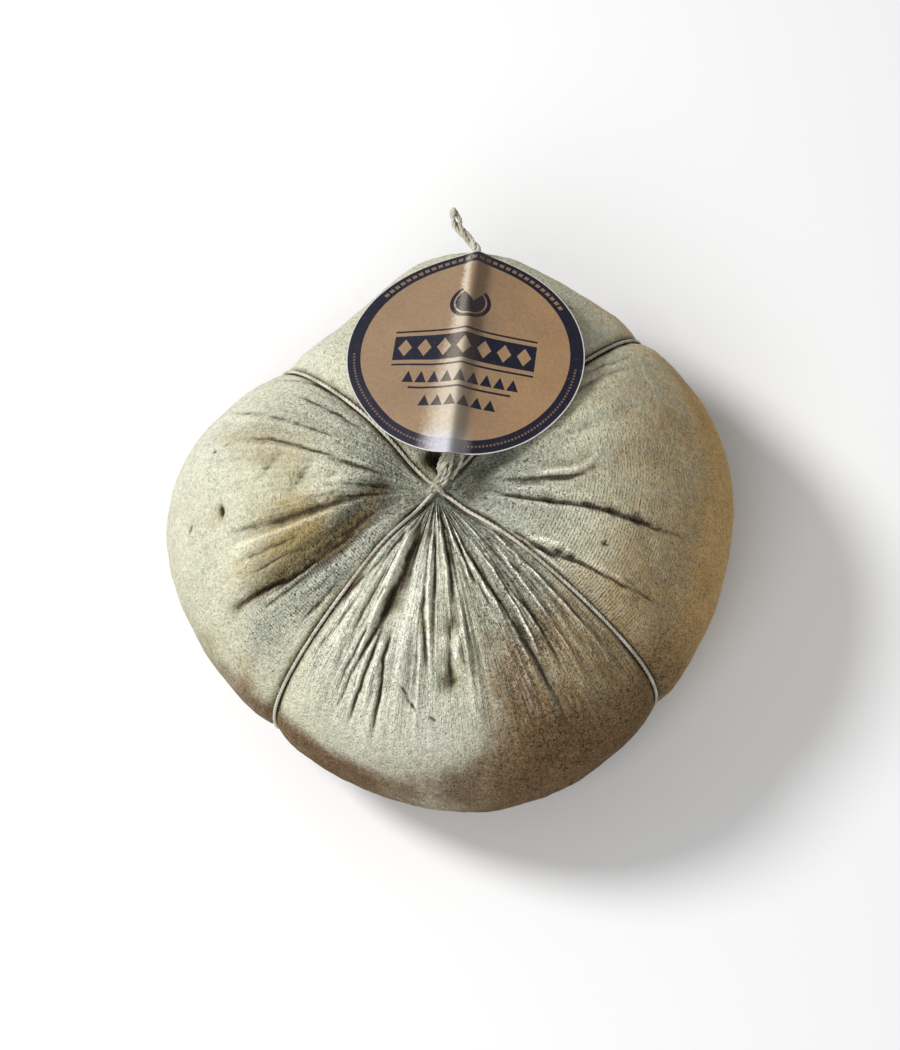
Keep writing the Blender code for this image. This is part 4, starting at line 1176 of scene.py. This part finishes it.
def card_finish(name, printed):
    """Kraft paper; the upper side is printed in navy, with a painted highlight left of its crease and
    painted shade right of it.
    """
    card = Finish(name)
    fibre = card.noise(900.0, 3.0, 0.6) - 0.5
    cloud = card.noise(60.0, 3.0, 0.6) - 0.5
    if not printed:
        card.set(Base_Color=PAPER, Roughness=0.7)
        return card.material
    sheet = card.start.node("TexCoord", None, None, "UV")
    across = (sheet.part("X") - 0.5) * (LABEL_DIAMETER * 1000.0)
    along = (sheet.part("Y") - 0.5) * (LABEL_DIAMETER * 1000.0)
    radius = (across * across + along * along).math("SQRT")
    angle = along.math("ARCTAN2", across) * (180.0 / math.pi)
    ink = card_print(across, along, radius, angle)

    colour = card.start.node("RGB")
    colour.output.default_value = (*KRAFT, 1.0)
    colour = colour.mix((0.34, 0.205, 0.105), (across + cloud * 20.0).ramp(-4.0, 26.0) * 0.8)
    # Painted highlight: a pale sheen band just left of the crease, widest at the bottom, where the ink
    # also fades
    crease = (across + 2.6 + fibre * 3.0).math("ABSOLUTE")
    spread = (along * -1.0).ramp(-34.0, 40.0) * 9.0 + 2.0
    worn = 1.0 - (crease / spread).ramp(0.1, 1.0)
    colour = colour.mix((0.66, 0.59, 0.47), worn * 0.7)
    colour = colour.mix(NAVY, ink * (1.0 - worn * 0.30 - fibre.ramp(0.10, 0.30) * 0.25))
    # Painted highlight: the navy ring turns bluish white under the sheen at the bottom
    ring_highlight = worn * (along * -1.0).ramp(31.0, 38.0)
    colour = colour.mix((0.60, 0.60, 0.67), ring_highlight * 0.75)
    colour = colour.mix(PAPER, radius > RING_OUTER)
    # Painted shade: a near black band just right of the crease
    crease_shade = 1.0 - (across - 2.6 + cloud * 3.0).math("ABSOLUTE").ramp(0.6, 4.6)
    colour = colour.mix((0.04, 0.028, 0.020), crease_shade * 0.62)
    tone = fibre * 0.5 + cloud * 0.35 + 1.0
    shade = tone.node("CombineXYZ", None, {0: tone, 1: tone, 2: tone})
    colour = colour.node("VectorMath", {"operation": "MULTIPLY"}, {0: colour, 1: shade})
    card.set(Base_Color=colour, Roughness=0.62, Specular_IOR_Level=0.22)
    card.set(Normal=card.bump(fibre + cloud, 0.00012))
    return card.material


# Camera, light and floor

def build_stage():
    """Camera of the photograph, soft studio light from the upper left, pale floor."""
    scene = bpy.context.scene
    deselect()
    low = math.radians(CAMERA_ELEVATION)
    stand = CAMERA_TARGET + Vector((0.0, -math.cos(low), math.sin(low))) * CAMERA_DISTANCE
    bpy.ops.object.camera_add(location=stand, rotation=(math.pi / 2 - low, 0.0, 0.0))
    camera = bpy.context.object
    camera.name = "camera"
    camera.data.lens = LENS
    camera.data.sensor_width = SENSOR
    camera.data.clip_end = 20.0
    scene.camera = camera

    for name, azimuth, elevation, size, power in LAMPS:
        turn, low = math.radians(azimuth), math.radians(elevation)
        away = Vector((math.cos(turn) * math.cos(low), math.sin(turn) * math.cos(low),
                       math.sin(low)))
        bpy.ops.object.light_add(type="AREA", location=CAMERA_TARGET + away * LAMP_DISTANCE,
                                 rotation=away.to_track_quat("Z", "Y").to_euler())
        lamp = bpy.context.object
        lamp.name = name
        lamp.data.shape = "DISK"
        lamp.data.size = size
        lamp.data.energy = power

    world = bpy.data.worlds.new("studio")
    world.use_nodes = True
    sky = world.node_tree.nodes["Background"]
    sky.inputs["Color"].default_value = (1.0, 1.0, 1.0, 1.0)
    sky.inputs["Strength"].default_value = SKY_LIGHT
    scene.world = world
    scene.view_settings.view_transform = "Standard"

    deselect()
    bpy.ops.mesh.primitive_plane_add(size=6.0)
    floor = bpy.context.object
    floor.name = "floor"
    paint = Finish("studio_floor")
    paint.set(Base_Color=FLOOR_COLOUR, Roughness=0.9)
    floor.data.materials.append(paint.material)


build_stage()
cotton = cotton_finish()
finish_piece(build_hanger(), "hanging_loop", cotton)
finish_piece(build_rind(), "cheese", rind_finish())
finish_piece(build_twine(), "tie_twine", cotton)
finish_piece(build_label(), "paper_label",
             (card_finish("printed_kraft", True), card_finish("card_edge", False)))
